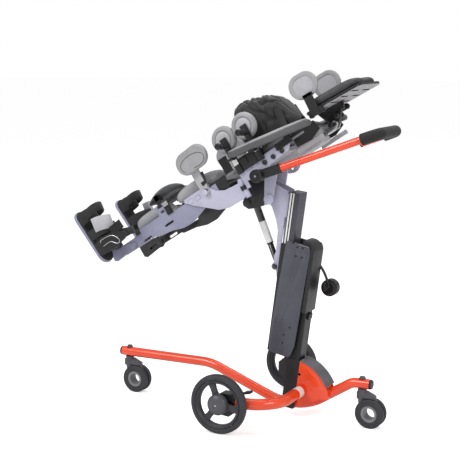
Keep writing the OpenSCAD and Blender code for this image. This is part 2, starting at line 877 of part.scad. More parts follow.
// Actuator's rod with its eye and foot pin
module tilt_rod() {
    color("silver") {
        at_ram_foot() {
            across(-ram_eye_w / 2, ram_eye_w / 2, ram_lug_r);
            across(-sail_y - sail_t - pin_end, sail_y + sail_t + pin_end, ram_pin_r);
            for (s = [-1, 1]) across(s * (sail_y + sail_t), s * (sail_y + sail_t + pin_end),
                    ram_pin_head_r);
        }
        ram_frame() cylinder(h = rod_stop, r = rod_d / 2);
    }
}

motor_r = 16;
motor_start = 244;
motor_stop = 315;
drive_start = 226;
drive_stop = 290;
drive_out = 54;
eye_r = 14;

// Actuator's tube, head, motor and control box, which slide along the rod
module tilt_actuator() {
    color("black") ram_frame() {
        difference() {
            union() {
                translate([0, 0, ram_start]) cylinder(h = ram_stop - ram_start, r = ram_d / 2);
                translate([0, 0, ram_stop]) cylinder(h = motor_start - ram_stop, r = motor_r);
            }
            translate([0, 0, ram_start - cut]) cylinder(h = ram_stop - ram_start + cut,
                    r = rod_d / 2 + 2 * turn_gap);
        }
        translate([0, 0, motor_start]) cylinder(h = motor_stop - motor_start, r = motor_r);
        translate([0, 0, ram_len]) across(-motor_r, motor_r, eye_r);
        block([0, -motor_r, drive_start], [drive_out, motor_r, drive_stop]);
    }
}

// Board

cheek_y = 40;
cheek_t = 6;
cheek_h = 124;
cheek_front = -97;
bar_start = 84;
cheek_len = bar_start - gap - cheek_front;
cheek_foot = -12;
cheek_shares = [[0, 0.33], [0.06, 0.18], [0.16, 0.12], [0.4, 0.02], [0.5, 0], [0.58, 0.02], [0.64, 0.12],
                [1, 0.7], [1, 1], [0.36, 1], [0.3, 0.78], [0.2, 0.55], [0.1, 0.5], [0.02, 0.43]];
ram_top_u = (ram_top_x - pivot_x) * cos(tilt) + (ram_top_z - pivot_z) * sin(tilt);
ram_top_w = -(ram_top_x - pivot_x) * sin(tilt) + (ram_top_z - pivot_z) * cos(tilt);
stub_r = 7;
tie_start = 12;
tie_foot = 72;
pin_knob_r = 17;
pin_knob_t = 9;

// Cheek plates with the pivot pin, the actuator's stub bolts and the tie to the rail
module tilt_cheeks() {
    cheek_out = cheek_y + cheek_t;
    color("lightsteelblue") in_board_frame() {
        for (s = [-1, 1]) {
            translate([cheek_front, 0, cheek_foot]) plate_y(s * cheek_y, s * cheek_out)
                polygon(outline(cheek_shares, [cheek_len, cheek_h]));
            translate([ram_top_u, 0, ram_top_w]) across(s * (motor_r + 2 * wheel_gap),
                    s * (cheek_out + pin_end), stub_r);
            across(s * cheek_out, s * (cheek_out + pin_knob_t), pin_knob_r);
            block([tie_start, min(s * cheek_y, s * rail_w / 2), tie_foot],
                  [tie_start + 2 * (rail_start - tie_start), max(s * cheek_y, s * rail_w / 2), panel_w0]);
        }
        block([tie_start, -cheek_y, tie_foot], [rail_start, cheek_y, panel_w0]);
        across(-cheek_out, cheek_out, pivot_pin_d / 2);
    }
}

bar_stop = 170;
bar_low = 92;
bar_high = 106;
socket_w = 32;
socket_h = 14;
socket_len = 190;
rail_mid = (rail_low + rail_high) / 2;

// Rail along the board's middle with the cross member that carries the side plates
module board_frame() {
    half = rail_w / 2;
    color("silver") in_board_frame() difference() {
        union() {
            block([rail_start, -half, rail_low], [rail_end - half, half, panel_w0]);
            translate([rail_end - half, 0, rail_low]) intersection() {
                cylinder(h = panel_w0 - rail_low, r = half);
                block([-cut, -half, 0], [half, half, panel_w0 - rail_low]);
            }
            block([bar_start, -plate_in, bar_low], [bar_stop, plate_in, bar_high]);
        }
        block([rail_end - socket_len, -socket_w / 2, rail_mid - socket_h / 2],
              [rail_end + cut, socket_w / 2, rail_mid + socket_h / 2]);
        both_sides() for (i = [0, 1, 2]) translate([bolt_start + i * bolt_pitch, 0, bolt_w])
            across(-plate_in - cut, -plate_in + bolt_len, bolt_r);
    }
}

bolt_start = 90;
bolt_pitch = 36.5;
bolt_w = 99;
bolt_r = 4;
bolt_len = 20;
bolt_head_t = 5;
side_len = 216;
side_h = 68;
side_front = -13;
side_foot = 54;
side_shares = [[0, 0.44], [0.1, 0.36], [0.22, 0.1], [0.3, 0], [0.37, 0], [0.44, 0.12], [0.52, 0.4],
               [0.91, 0.54], [1, 0.82], [1, 0.9], [0.87, 1], [0.45, 1], [0, 0.86]];
handle_u = 53.5;
handle_w0 = 71.4;
hub_pin_r = 6;

// Shaped plates on both sides of the board, with the fixed knuckles of the leg hinges
module side_plates() {
    color("lightsteelblue") in_board_frame() both_sides() difference() {
        union() {
            translate([side_front, 0, side_foot]) plate_y(-plate_in, -board_half)
                polygon(outline(side_shares, [side_len, side_h]));
            knuckle(fixed_low, fixed_high);
            block([hip_u, -board_half, fixed_low], [hip_u + knuckle_r + 2 * gap, -plate_in, fixed_high]);
            block([hip_u + knuckle_r + 2 * gap, -board_half, fixed_low],
                  [side_front + 3 * plate_t, -plate_in, side_foot + side_h / 2 + plate_t]);
            at_knuckle() translate([0, 0, knuckle_low - pin_end])
                    cylinder(h = knuckle_high - knuckle_low + 2 * pin_end, r = hip_pin_r);
            for (z = [knuckle_low - pin_end, knuckle_high]) at_knuckle() translate([0, 0, z])
                    cylinder(h = pin_end, r = knuckle_r);
        }
        for (i = [0, 1, 2]) translate([bolt_start + i * bolt_pitch, 0, bolt_w])
            across(-plate_in + cut, -board_half - cut, bolt_r);
        translate([handle_u, 0, handle_w0]) across(-plate_in + cut, -board_half - cut, hub_pin_r);
        for (a = tray_holes) translate([a, 0, tray_w]) across(-plate_in + cut, -board_half - cut, hole_r);
    }
}

tray_holes = [40, 66];
tray_w = 108;
hip_pin_r = 4;
knuckle_gap = 0.4;
fixed_low = 57;
fixed_high = 76;

module at_knuckle() {
    translate([hip_u, -(plate_in + board_half) / 2, 0]) children();
}

module knuckle(low, high) {
    at_knuckle() translate([0, 0, low]) cylinder(h = high - low, r = knuckle_r);
}

// Bolts that hold the side plates to the cross member
module board_bolts() {
    color("black") in_board_frame() both_sides() for (i = [0, 1, 2])
        translate([bolt_start + i * bolt_pitch, 0, bolt_w]) {
            across(-board_half - bolt_head_t, -plate_in + bolt_len, bolt_r);
            across(-board_half - bolt_head_t, -board_half, 2 * bolt_r);
        }
}

panel_w = 208;
panel_round = 32;

// Flat panel under the trunk cushion
module trunk_panel() {
    color("dimgray") in_board_frame() translate([0, 0, panel_w0]) linear_extrude(height = panel_t)
        translate([panel_start, -panel_w / 2]) round_rect([trunk_len + 2 * panel_t, panel_w], panel_round);
}

trunk_shape = [0.35, 0.03, 0.12, 0];

// Cushion under the trunk
module trunk_cushion() {
    color("gainsboro") in_board_frame() translate([panel_start + panel_t + trunk_len / 2, 0, cushion_w0])
        cushion(trunk_len, trunk_w, trunk_t, trunk_shape);
}

arm_slope = 9.9;
arm_u = 154;
arm_w = 155;
arm_len = 316;
arm_h = 30;
arm_width = 32;
arm_gap = 10.5;
arm_shape = [0.5, 0.01, 0.1, 0];
post_us = [0, 88];
post_half = 11;
post_low = 110;
post_out = 10;
post_thin = 6;
sleeve_w = 217;
sleeve_h = 18;
sleeve_out = 34;
lateral_rod_r = 6;
arm_y = board_half + arm_gap + arm_width / 2;

module arm_frame() {
    translate([arm_u, -arm_y, arm_w]) rotate([0, arm_slope, 0]) children();
}

// Uprights on the side plates, with ledges for the arm pads and sleeves for the side supports
module arm_posts() {
    face = board_half + post_out - post_thin;
    color("black") in_board_frame() both_sides() difference() {
        union() {
            for (u = post_us) translate([u, 0, 0]) {
                block([-post_half, -board_half - post_out, post_low], [post_half, -board_half,
                        sleeve_w - sleeve_out]);
                block([-post_half, -board_half - post_out, post_low], [post_half, -face,
                        sleeve_w + sleeve_h / 2]);
                block([-post_half, -board_half - sleeve_out, sleeve_w - sleeve_h / 2],
                      [post_half, -face, sleeve_w + sleeve_h / 2]);
            }
            arm_frame() for (u = post_us) block([u - arm_u - post_half, -arm_width / 2,
                    -arm_h / 2 - post_thin],
                [u - arm_u + post_half, arm_width / 2 + arm_gap - post_out + cut, -arm_h / 2 - gap]);
        }
        for (u = post_us) translate([u, 0, sleeve_w])
            across(-face + cut, -board_half - sleeve_out - cut, lateral_rod_r + turn_gap);
        translate([0, -face, 0]) block([-arm_u, 0, sleeve_w - sleeve_out], [arm_u, face / 2,
                sleeve_w + sleeve_h]);
    }
}

// Long side pads that slope with the posts
module arm_pads() {
    color("gainsboro") in_board_frame() both_sides() arm_frame() translate([0, 0, -arm_h / 2])
        cushion(arm_len, arm_width, arm_h, arm_shape);
}

vest_start = 24;
vest_len = 208;
vest_station_shares = [0, 0.15, 0.33, 0.51, 0.68, 0.85, 1];
vest_height_shares = [0.9, 1, 0.985, 0.92, 0.82, 0.66, 0.38];
vest_width_shares = [0.94, 0.99, 1, 0.99, 0.96, 0.92, 0.86];
vest_h = 172;
vest_half = 80;
vest_t = 9;
vest_sides = 16;
vest_power = 0.8;
vest_w0 = cushion_w0 + trunk_t + gap;
strap_w = 26;
strap_t = 3;
strap_us = [60, 180];

// Padded vest arched over the trunk cushion, with the straps that hold it to the panel
module harness() {
    rings = len(vest_station_shares);
    side = vest_sides + 1;
    function arch(k, i, inner) =
        let (a = 180 * i / vest_sides,
             half = vest_half * vest_width_shares[k] - inner,
             rise = vest_h * vest_height_shares[k] - inner)
        [vest_start + vest_len * vest_station_shares[k],
         half * sign_of(cos(a)) * pow(abs(cos(a)), vest_power), vest_w0 + rise * pow(sin(a), vest_power)];
    points = concat([for (k = [0 : rings - 1], i = [0 : vest_sides]) arch(k, i, 0)],
                    [for (k = [0 : rings - 1], i = [0 : vest_sides]) arch(k, i, vest_t)]);
    inner0 = rings * side;
    skin = [for (k = [0 : rings - 2], i = [0 : vest_sides - 1]) let (a = k * side + i)
        each [[a, a + side, a + side + 1], [a, a + side + 1, a + 1],
              [inner0 + a, inner0 + a + side + 1, inner0 + a + side], [inner0 + a, inner0 + a + 1,
                      inner0 + a + side + 1]]];
    feet = [for (k = [0 : rings - 2], i = [0, vest_sides]) let (a = k * side + i)
        each i == 0 ? [[a, inner0 + a + side, a + side], [a, inner0 + a, inner0 + a + side]]
                    : [[a, a + side, inner0 + a + side], [a, inner0 + a + side, inner0 + a]]];
    ends = [for (k = [0, rings - 1], i = [0 : vest_sides - 1]) let (a = k * side + i)
        each k == 0 ? [[a, a + 1, inner0 + a + 1], [a, inner0 + a + 1, inner0 + a]]
                    : [[a, inner0 + a + 1, a + 1], [a, inner0 + a, inner0 + a + 1]]];
    color("lightgray") in_board_frame() {
        polyhedron(points = points, faces = concat(skin, feet, ends), convexity = 6);
        for (u = strap_us, s = [-1, 1]) {
            block([u, min(s * (trunk_w / 2 + gap), s * (trunk_w / 2 + strap_t)), panel_w0 + panel_t],
                  [u + strap_w, max(s * (trunk_w / 2 + gap), s * (trunk_w / 2 + strap_t)),
                          vest_w0 + strap_t]);
            block([u, min(s * (vest_half - 2 * vest_t), s * (trunk_w / 2 + strap_t)), vest_w0],
                  [u + strap_w, max(s * (vest_half - 2 * vest_t), s * (trunk_w / 2 + strap_t)),
                          vest_w0 + strap_t]);
        }
    }
}

lateral_y = 103;
lateral_rise = 22;
lateral_lead = -3;
lateral_knob_r = 11;
lateral_knob_t = 14;

// Round trunk supports on rods that slide in the sleeves
module laterals(s) {
    rod_out = board_half + sleeve_out + lateral_travel + gap;
    color("lightgray") in_board_frame() on_side(s) for (u = post_us) translate([u, 0, sleeve_w]) {
        translate([lateral_lead, -lateral_y, lateral_rise]) {
            across(0, -lateral_t + lateral_edge, lateral_d / 2);
            across(0, -lateral_t, lateral_d / 2 - lateral_edge);
        }
        across(-lateral_y - lateral_t / 2, -rod_out - lateral_knob_t, lateral_rod_r);
        across(-rod_out, -rod_out - lateral_knob_t, lateral_knob_r);
    }
}

lateral_edge = 5;
lateral_travel = 20.5;

// Head support

head_pivot_u = 322;
head_pivot_w = 96;
head_drop = 4;
head_bar_t = 12;
head_bar_w = 30;
head_pin_r = 5;
head_eye_r = 11;
head_eye_w = 16;
head_pad_z = 65;
head_shell_t = 8;
head_pad_mid = 60;
head_shell_len = 212;
head_shell_w = 196;

// Sliding bar in the rail's end, with the clevis that the head support turns in
module head_post() {
    bar_mid = rail_mid;
    color("dimgray") in_board_frame() {
        block([rail_end - socket_len + 2 * head_bar_w, -head_bar_w / 2, bar_mid - head_bar_t / 2],
              [head_pivot_u - head_eye_r - plate_t, head_bar_w / 2, bar_mid + head_bar_t / 2]);
        for (s = [-1, 1]) difference() {
            union() {
                translate([head_pivot_u, 0, head_pivot_w]) across(s * (head_eye_w / 2 + gap),
                        s * head_bar_w / 2, head_eye_r);
                block([head_pivot_u - 2 * head_eye_r - plate_t, min(s * (head_eye_w / 2 + gap),
                        s * head_bar_w / 2), bar_mid - head_bar_t / 2],
                      [head_pivot_u, max(s * (head_eye_w / 2 + gap), s * head_bar_w / 2),
                              head_pivot_w + head_eye_r / 2]);
            }
            translate([head_pivot_u, 0, head_pivot_w]) across(-head_bar_w, head_bar_w,
                    head_pin_r + turn_gap);
        }
    }
}

slot_us = [4, 44, 84, 124];
head_rib_shares = [[0, 1], [0.3, 0.1], [0.42, 0], [0.52, 0.1], [1, 1]];
head_rib_len = 108;
head_rib_back_share = 0.42;
wing_pin_r = 3;
wing_axis_y = 107;
wing_axis_z = 46;
wing_eye_r = 7;
wing_start = -20;
wing_eye_len = 34;
ear_len = 8;

// Slotted tray under the head cushion, with its hinge rib and the ears of the head wings
module head_shell() {
    color("dimgray") in_head_frame() difference() {
        union() {
            translate([head_pad_mid - head_shell_len / 2, -head_shell_w / 2,
                    head_pad_z - gap - head_shell_t])
                linear_extrude(height = head_shell_t) round_rect([head_shell_len, head_shell_w],
                        3 * head_shell_t);
            translate([-head_rib_len * head_rib_back_share, 0, -head_eye_r])
                    plate_y(-head_eye_w / 2, head_eye_w / 2)
                polygon(outline(head_rib_shares, [head_rib_len,
                        head_pad_z - gap - head_shell_t / 2 + head_eye_r]));
            across(-head_eye_w / 2, head_eye_w / 2, head_eye_r);
            across(-head_bar_w / 2 - pin_end, head_bar_w / 2 + pin_end, head_pin_r);
            both_sides() for (x = [wing_start - ear_len - gap, wing_start + wing_eye_len + gap])
                block([x, -wing_axis_y - wing_eye_r, wing_axis_z - wing_eye_r],
                      [x + ear_len, -head_shell_w / 2 + head_shell_t, head_pad_z - gap - head_shell_t / 2]);
            both_sides() translate([wing_start - ear_len, -wing_axis_y, wing_axis_z]) rotate([0, 90, 0])
                cylinder(h = wing_eye_len + 2 * ear_len, r = wing_pin_r);
        }
        for (x = slot_us, s = [-1, 1]) translate([x, s * head_shell_w / 4, 0])
            linear_extrude(height = 2 * head_pad_z) rotate(90) slot(head_shell_w / 3, head_shell_t);
    }
}

head_shape = [0.4, 0.02, 0.1, 6];

// Cushion under the head, higher at its sides
module head_cushion() {
    color("gainsboro") in_head_frame() translate([head_pad_mid, 0, head_pad_z])
        cushion(head_len, head_w, head_t, head_shape);
}

wing_y = 92;
wing_t = 12;
wing_r = 41;
wing_len = 104;
wing_low = 104;
wing_h = 84;
wing_back = -58;
wing_arm_t = 4;

// Side wing of the head support: a rimmed pad on a hinged arm
module head_wing(s) {
    color("gainsboro") in_head_frame() on_side(s) difference() {
        union() {
            translate([wing_back, 0, wing_low]) plate_y(-wing_y, -wing_y - wing_t)
                round_rect([wing_len, wing_h], wing_r);
            translate([wing_start, 0, 0]) {
                block([0, -wing_axis_y - wing_eye_r, wing_axis_z], [wing_eye_len,
                        -wing_axis_y - wing_eye_r + wing_arm_t, wing_low + wing_t]);
                block([0, -wing_axis_y - wing_eye_r, wing_low], [wing_eye_len, -wing_y - wing_t / 2,
                        wing_low + wing_t]);
                translate([0, -wing_axis_y, wing_axis_z]) rotate([0, 90, 0])
                        cylinder(h = wing_eye_len, r = wing_eye_r);
            }
        }
        translate([wing_start - cut, -wing_axis_y, wing_axis_z]) rotate([0, 90, 0])
            cylinder(h = wing_eye_len + 2 * cut, r = wing_pin_r + turn_gap);
    }
}

// Push handle

handle_drop = 13;
handle_bend_r = 38;
handle_gap = 1.5;
handle_y = board_half + handle_d / 2 + handle_gap;
socket_end = 88;
socket_r = 16;
tube_start = 56;
hub_r = 22;
handle_eye_r = 20;
handle_cap_t = 4;
handle_steps = [[handle_len - tube_start, 90, handle_bend_r, 1],
                [handle_w - 2 * handle_bend_r, 90, handle_bend_r, 1], [handle_back, 0, 0, 1]];
grip_lap = 14;
grip_steps = [[grip_lap, 90, handle_bend_r, 1], [handle_w - 2 * handle_bend_r, 90, handle_bend_r, 1],
              [grip_lap, 0, 0, 1]];

module handle_frame() {
    in_board_frame() translate([handle_u, 0, handle_w0]) rotate([0, handle_drop, 0]) children();
}

// Fixed pivot of the handle: bolt, boss and clamp knob
module handle_hub() {
    color("black") in_board_frame() translate([handle_u, 0, handle_w0]) {
        across(-plate_in, -handle_y - handle_d, hub_pin_r);
        across(-handle_y - handle_d / 2 - gap, -handle_y - handle_d, hub_r);
        across(-plate_in, -plate_in + 2 * bolt_head_t, 2 * hub_pin_r);
    }
}

// Handle's tube with its socket and eye
module handle_tube() {
    color("orangered") handle_frame() difference() {
        union() {
            translate([tube_start, -handle_y, 0]) bent_bar(handle_steps, handle_d / 2);
            translate([0, -handle_y, 0]) rotate([0, 90, 0]) intersection() {
                cylinder(h = socket_end, r = socket_r);
                translate([-socket_r, -handle_d / 2 - gap / 2, 0])
                        cube([2 * socket_r, handle_d + gap, socket_end]);
            }
            across(-handle_y - handle_d / 2, -board_half - gap, handle_eye_r);
        }
        across(-handle_y - handle_d, -board_half + cut, hub_pin_r + turn_gap);
    }
}

// Foam grip round the handle's cross part
module handle_grip() {
    color("black") handle_frame() translate([handle_len - grip_lap, -handle_y, 0])
        bent_bar(grip_steps, grip_d / 2, handle_d / 2);
}

module handle_cap() {
    color("black") handle_frame() translate([handle_len - handle_back, -handle_y + handle_w, 0])
        rotate([0, -90, 0]) cylinder(h = handle_cap_t, r = handle_d / 2 + cut);
}

// Legs

thigh_len0 = 216.4;
thigh_h = 102;
thigh_front = -248;
thigh_foot = 36;
thigh_shares = [[0, 1], [0.02, 0.94], [0.1, 0.78], [0.31, 0.44], [0.49, 0.14], [0.66, 0.02], [0.96, 0],
                [1, 0.06], [1, 0.52], [0.74, 0.58], [0.6, 0.73], [0.49, 1]];
tray_top = 145;
tray_t = 10;
calf_tray_t = 4;
pad_in = 20;
pad_out = 108;
pad_w = pad_out - pad_in;
thigh_mid = -192;
thigh_extra = 3;
stud_u = -150;
stud_w = 124;
stud_r = 5;
stud_len = 12;

module leg_side(s) {
    in_board_frame() on_side(s) children();
}

// Thigh plate with the moving knuckles of its hinge, its tray and the stud of the hip pad
module thigh_plate(s) {
    color("lightsteelblue") leg_side(s) difference() {
        union() {
            translate([thigh_front, 0, thigh_foot])
                plate_y(-plate_in, -board_half) polygon(outline(thigh_shares, [thigh_len0, thigh_h]));
            for (z = [[knuckle_low, fixed_low - knuckle_gap], [fixed_high + knuckle_gap, knuckle_high]]) {
                knuckle(z[0] + knuckle_gap, z[1] - knuckle_gap);
                block([thigh_front + thigh_len0 - cut, -board_half, z[0] + knuckle_gap], [hip_u,
                        -plate_in, z[1] - knuckle_gap]);
            }
            block([thigh_front + plate_t, -board_half, tray_top - tray_t], [thigh_front + thigh_len0 / 2,
                    -pad_in - 2 * plate_t, tray_top]);
            translate([stud_u, 0, stud_w]) {
                across(-plate_in, -board_half - stud_len, stud_r);
                across(-board_half - stud_len, -board_half - stud_len - pin_end, 2 * stud_r);
            }
        }
        at_knuckle() translate([0, 0, knuckle_low - cut]) cylinder(h = knuckle_high,
                r = hip_pin_r + turn_gap);
    }
}

module thigh_pad(s) {
    color("gainsboro") leg_side(s) translate([thigh_mid, -(pad_in + pad_out) / 2, tray_top + gap])
        cushion(thigh_len, pad_w, leg_pad_t + thigh_extra, leg_shape);
}

leg_shape = [0.35, 0.02, 0.1, 4];
arm_size = [456, 68];
arm_front = -566;
arm_foot = 65;
leg_arm_shares = [[0, 0.72], [0.01, 0.56], [0.03, 0.47], [0.34, 0.45], [0.36, 0.35], [0.48, 0.24], [0.58,
    0.03], [0.68, 0],
                  [0.83, 0.29], [1, 0.3], [1, 1], [0.03, 1], [0.01, 0.92]];
slot_h = 9;
slot_marks = [[-544, 43, 36], [-446, 39, 40], [-341, 42, 42]];
foot_pivot_u = -506;
foot_pivot_w = 110;
foot_pin_r = 5;
calf_tray_top = 147;
calf_mid = -404;
calf_tray_l = 110;
strut_u = -341;
strut_w = 40;
knee_pivot_w = 176;
knee_pin_r = 3;
knee_eye_r = 6;
knee_eye_l = 19;

arm_mid = (arm_in + arm_out) / 2;

module at_knee_pin() {
    translate([strut_u, -arm_mid, knee_pivot_w]) rotate([0, 90, 0]) children();
}

module leg_part(s) {
    in_board_frame() translate([s == far ? -far_reach : 0, 0, 0]) on_side(s) children();
}

// Ear of the knee pad's hinge, at one end of its pin
module knee_ear(e) {
    ear = strut_w / 2 - knee_eye_l / 2 - gap;
    at_knee_pin() translate([0, 0, e < 0 ? -strut_w / 2 : strut_w / 2 - ear])
            cylinder(h = ear, r = knee_eye_r);
    translate([strut_u + (e < 0 ? -strut_w / 2 : strut_w / 2 - ear), -arm_out,
            knee_pivot_w - 2 * knee_eye_r])
        cube([ear, arm_t, 2 * knee_eye_r]);
}

// Leg bar that slides out of the thigh plate, with the calf tray and the knee pad's upright
module leg_arm(s) {
    color("slategray") leg_part(s) difference() {
        union() {
            translate([arm_front, 0, arm_foot]) plate_y(-arm_in, -arm_out)
                    polygon(outline(leg_arm_shares, arm_size));
            block([calf_mid - calf_tray_l / 2, -arm_out, calf_tray_top - calf_tray_t],
                  [calf_mid + calf_tray_l / 2, -pad_in - 2 * plate_t, calf_tray_top]);
            block([calf_mid - calf_tray_l / 2, -arm_out, arm_foot + arm_size[1] - plate_t],
                  [calf_mid + calf_tray_l / 2, -arm_in, calf_tray_top]);
            block([strut_u - strut_w / 2, -arm_out, arm_foot + arm_size[1] - plate_t],
                  [strut_u + strut_w / 2, -arm_in, knee_pivot_w - knee_eye_r - 2 * gap]);
            for (e = [-1, 1]) knee_ear(e);
            at_knee_pin() translate([0, 0, -strut_w / 2]) cylinder(h = strut_w, r = knee_pin_r);
            translate([foot_pivot_u, 0, foot_pivot_w]) {
                across(-arm_in, -board_half - 2 * pin_end, foot_pin_r);
                across(-board_half - pin_end, -board_half - 2 * pin_end, 2 * foot_pin_r);
                across(-arm_in + pin_end, -arm_in, 2 * foot_pin_r);
            }
        }
        for (m = slot_marks) translate([m[0], 0, arm_foot + m[1]])
            plate_y(-arm_in + cut, -arm_out - cut) slot(m[2], slot_h);
        translate([strut_u, 0, (arm_foot + arm_size[1] + knee_pivot_w) / 2])
                plate_y(-arm_in + cut, -arm_out - cut)
            slot(slot_h * 2, slot_h);
    }
}

module calf_pad(s) {
    color("gainsboro") leg_part(s) translate([calf_mid, -(pad_in + pad_out) / 2, calf_tray_top + gap])
        cushion(calf_len, pad_w, leg_pad_t, leg_shape);
}

knee_u = -328;
knee_w = 199;
knee_len = 146;
knee_t = 37;
knee_shape = [0.4, 0.02, 0.55, 0];

// Pad that holds the knee, on an arm that swings outward about the pin of the leg bar's upright
module knee_pad(s) {
    color("dimgray") leg_part(s) difference() {
        union() {
            translate([knee_u, -(pad_in + pad_out) / 2, knee_w])
                cushion(knee_len, pad_w, knee_t, knee_shape);
            at_knee_pin() translate([0, 0, -knee_eye_l / 2]) cylinder(h = knee_eye_l, r = knee_eye_r);
            block([strut_u - knee_eye_l / 2, -arm_mid, knee_pivot_w + knee_pin_r + gap],
                  [strut_u + knee_eye_l / 2, -pad_out - plate_t, knee_w + knee_t / 2]);
            block([strut_u - knee_eye_l / 2, -arm_mid, knee_w - plate_t],
                  [strut_u + knee_eye_l / 2, -pad_out + knee_eye_l, knee_w + knee_t / 2]);
        }
        at_knee_pin() translate([0, 0, -strut_w]) cylinder(h = 2 * strut_w, r = knee_pin_r + turn_gap);
    }
}

sandal_in = board_half + plate_t + gap;
sole_lean = 5;
sole_foot_w = 104;
heel_len = 56;
heel_h = 44;
heel_wall = 6;
cup_w0 = 26;
toe_band_w = 47;
toe_band_t = 5;
toe_band_h = 46;
toe_band_up = 148;
hanger_size = [110, 62];
hanger_shares = [[0, 0.1], [0.1, 0], [0.7, 0.06], [0.84, 0.02], [0.97, 0.1], [1, 0.25], [0.96, 0.4],
    [0.84, 0.46],
                 [0.5, 0.6], [0.24, 1], [0, 1]];
foot_tip_u = -606;
far_raise = 28;
hanger_pivot_share = 0.24;
sole_round_share = 0.44;
cup_round_share = 0.3;
cup_in_round_share = 0.24;
band_in_round_share = 0.26;

// Foot support: sole, heel cup and toe band on a hanger that turns on the leg bar
module sandal(s) {
    mid_y = sandal_in + sole_w / 2;
    raise = s == far ? far_raise : 0;
    hanger_h = hanger_size[1] + raise;
    color("dimgray") leg_part(s) difference() {
        union() {
            translate([foot_tip_u, 0, foot_pivot_w - hanger_h * hanger_pivot_share])
                plate_y(-plate_in - gap, -board_half - gap)
                    polygon(outline(hanger_shares, [hanger_size[0], hanger_h]));
            translate([foot_tip_u, -mid_y, sole_foot_w + raise]) rotate([0, -sole_lean, 0]) {
                rotate([0, 90, 0]) linear_extrude(height = sole_t) translate([-sole_len, -sole_w / 2])
                        round_rect([sole_len, sole_w], sole_w * sole_round_share);
                translate([0, 0, cup_w0]) block([0, sole_w / 2 - heel_wall, 0], [sole_t,
                        sole_w / 2 + plate_t + gap, heel_h]);
                translate([sole_t - cut, 0, cup_w0]) difference() {
                    linear_extrude(height = heel_h) translate([0, -sole_w / 2])
                            round_rect([heel_len, sole_w], sole_w * cup_round_share);
                    translate([0, 0, heel_wall]) linear_extrude(height = heel_h)
                        translate([-heel_wall, -sole_w / 2 + heel_wall])
                                round_rect([heel_len, sole_w - 2 * heel_wall], sole_w * cup_in_round_share);
                }
                translate([sole_t - cut, 0, toe_band_up]) difference() {
                    linear_extrude(height = toe_band_w) translate([-sole_t, -sole_w / 2])
                            round_rect([sole_t + toe_band_h, sole_w], sole_w * cup_round_share);
                    translate([0, 0, -cut]) linear_extrude(height = toe_band_w + 2 * cut)
                        translate([-sole_t, -sole_w / 2 + toe_band_t])
                                round_rect([sole_t + toe_band_h - toe_band_t, sole_w - 2 * toe_band_t],
                                sole_w * band_in_round_share);
                    block([-2 * sole_t, -sole_w, -cut], [0, sole_w, toe_band_w + cut]);
                }
            }
        }
        translate([foot_pivot_u, 0, foot_pivot_w]) across(-plate_in, -board_half - 2 * gap,
                foot_pin_r + turn_gap);
    }
}

hip_size = [130, 82];
hip_lean = -3;
hip_low_w = 196;
hip_low_u = -194;
hip_t = 24;
hip_eye_r = 13;
hip_round = 38;
hip_arm_w = 34;

// Side support of the hip on an arm that swings on the thigh plate's stud
module hip_pad(s) {
    in_y = board_half + 2 * gap;
    hip_reach = hip_low_w + hip_size[1] / 2 - stud_w;
    color("lightgray") leg_side(s) difference() {
        union() {
            translate([stud_u, 0, stud_w]) {
                across(-in_y, -in_y - plate_t - 2 * gap, hip_eye_r);
                plate_y(-in_y, -in_y - plate_t - 2 * gap) polygon([
                    [-hip_eye_r, 0], [hip_eye_r, 0], [hip_arm_w / 2, hip_arm_w], [hip_arm_w / 2, hip_reach],
                    [-hip_arm_w / 2, hip_reach], [-hip_arm_w / 2, hip_arm_w]]);
            }
            translate([hip_low_u, 0, hip_low_w]) rotate([0, hip_lean, 0])
                plate_y(-in_y - plate_t, -in_y - plate_t - hip_t) round_rect(hip_size, hip_round);
        }
        translate([stud_u, 0, stud_w]) across(-board_half, -in_y - 2 * plate_t, stud_r + turn_gap);
    }
}

// Drawing of the chosen node
spine_tube();
cross_tube();
gusset();
tread_cover();
end_caps();
base_bolts();
mast();
side_covers();
battery_shell();
battery_latch();
crank();
hub_housings();
brake_pedal(near);  // near_brake_pedal
brake_pedal(far);  // far_brake_pedal
castor_fork(-front_pin_x);  // front_castor_fork
castor_wheels(-front_pin_x);  // front_castor_wheels
castor_fork(rear_pin_x);  // rear_castor_fork
castor_wheels(rear_pin_x);  // rear_castor_wheels
big_wheel(near);  // near_wheel
tyre(near);  // near_tyre
big_wheel(far);  // far_wheel
tyre(far);  // far_tyre
lift_column();
sail_plates();
tilt_rod();
tilt_actuator();
tilt_cheeks();
board_frame();
side_plates();
board_bolts();
trunk_panel();
trunk_cushion();
arm_posts();
arm_pads();
harness();
laterals(near);  // near_laterals
laterals(far);  // far_laterals
hip_pad(near);  // near_hip_pad
hip_pad(far);  // far_hip_pad
head_post();
head_shell();
head_cushion();
head_wing(near);  // near_head_wing
head_wing(far);  // far_head_wing
handle_hub();
handle_tube();
handle_grip();
handle_cap();
thigh_plate(near);  // near_thigh_plate
thigh_pad(near);  // near_thigh_pad
leg_arm(near);  // near_leg_arm
calf_pad(near);  // near_calf_pad
knee_pad(near);  // near_knee_pad
sandal(near);  // near_sandal
thigh_plate(far);  // far_thigh_plate
thigh_pad(far);  // far_thigh_pad
leg_arm(far);  // far_leg_arm
calf_pad(far);  // far_calf_pad
knee_pad(far);  // far_knee_pad
sandal(far);  // far_sandal
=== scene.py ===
# Pediatric standing frame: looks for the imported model.
# Lengths below are millimetres in the same frames as the solids; every piece is placed in metres at the end.
from math import atan2, cos, degrees, pi, radians, sin

import bmesh
import bpy
from mathutils import Matrix, Vector, noise


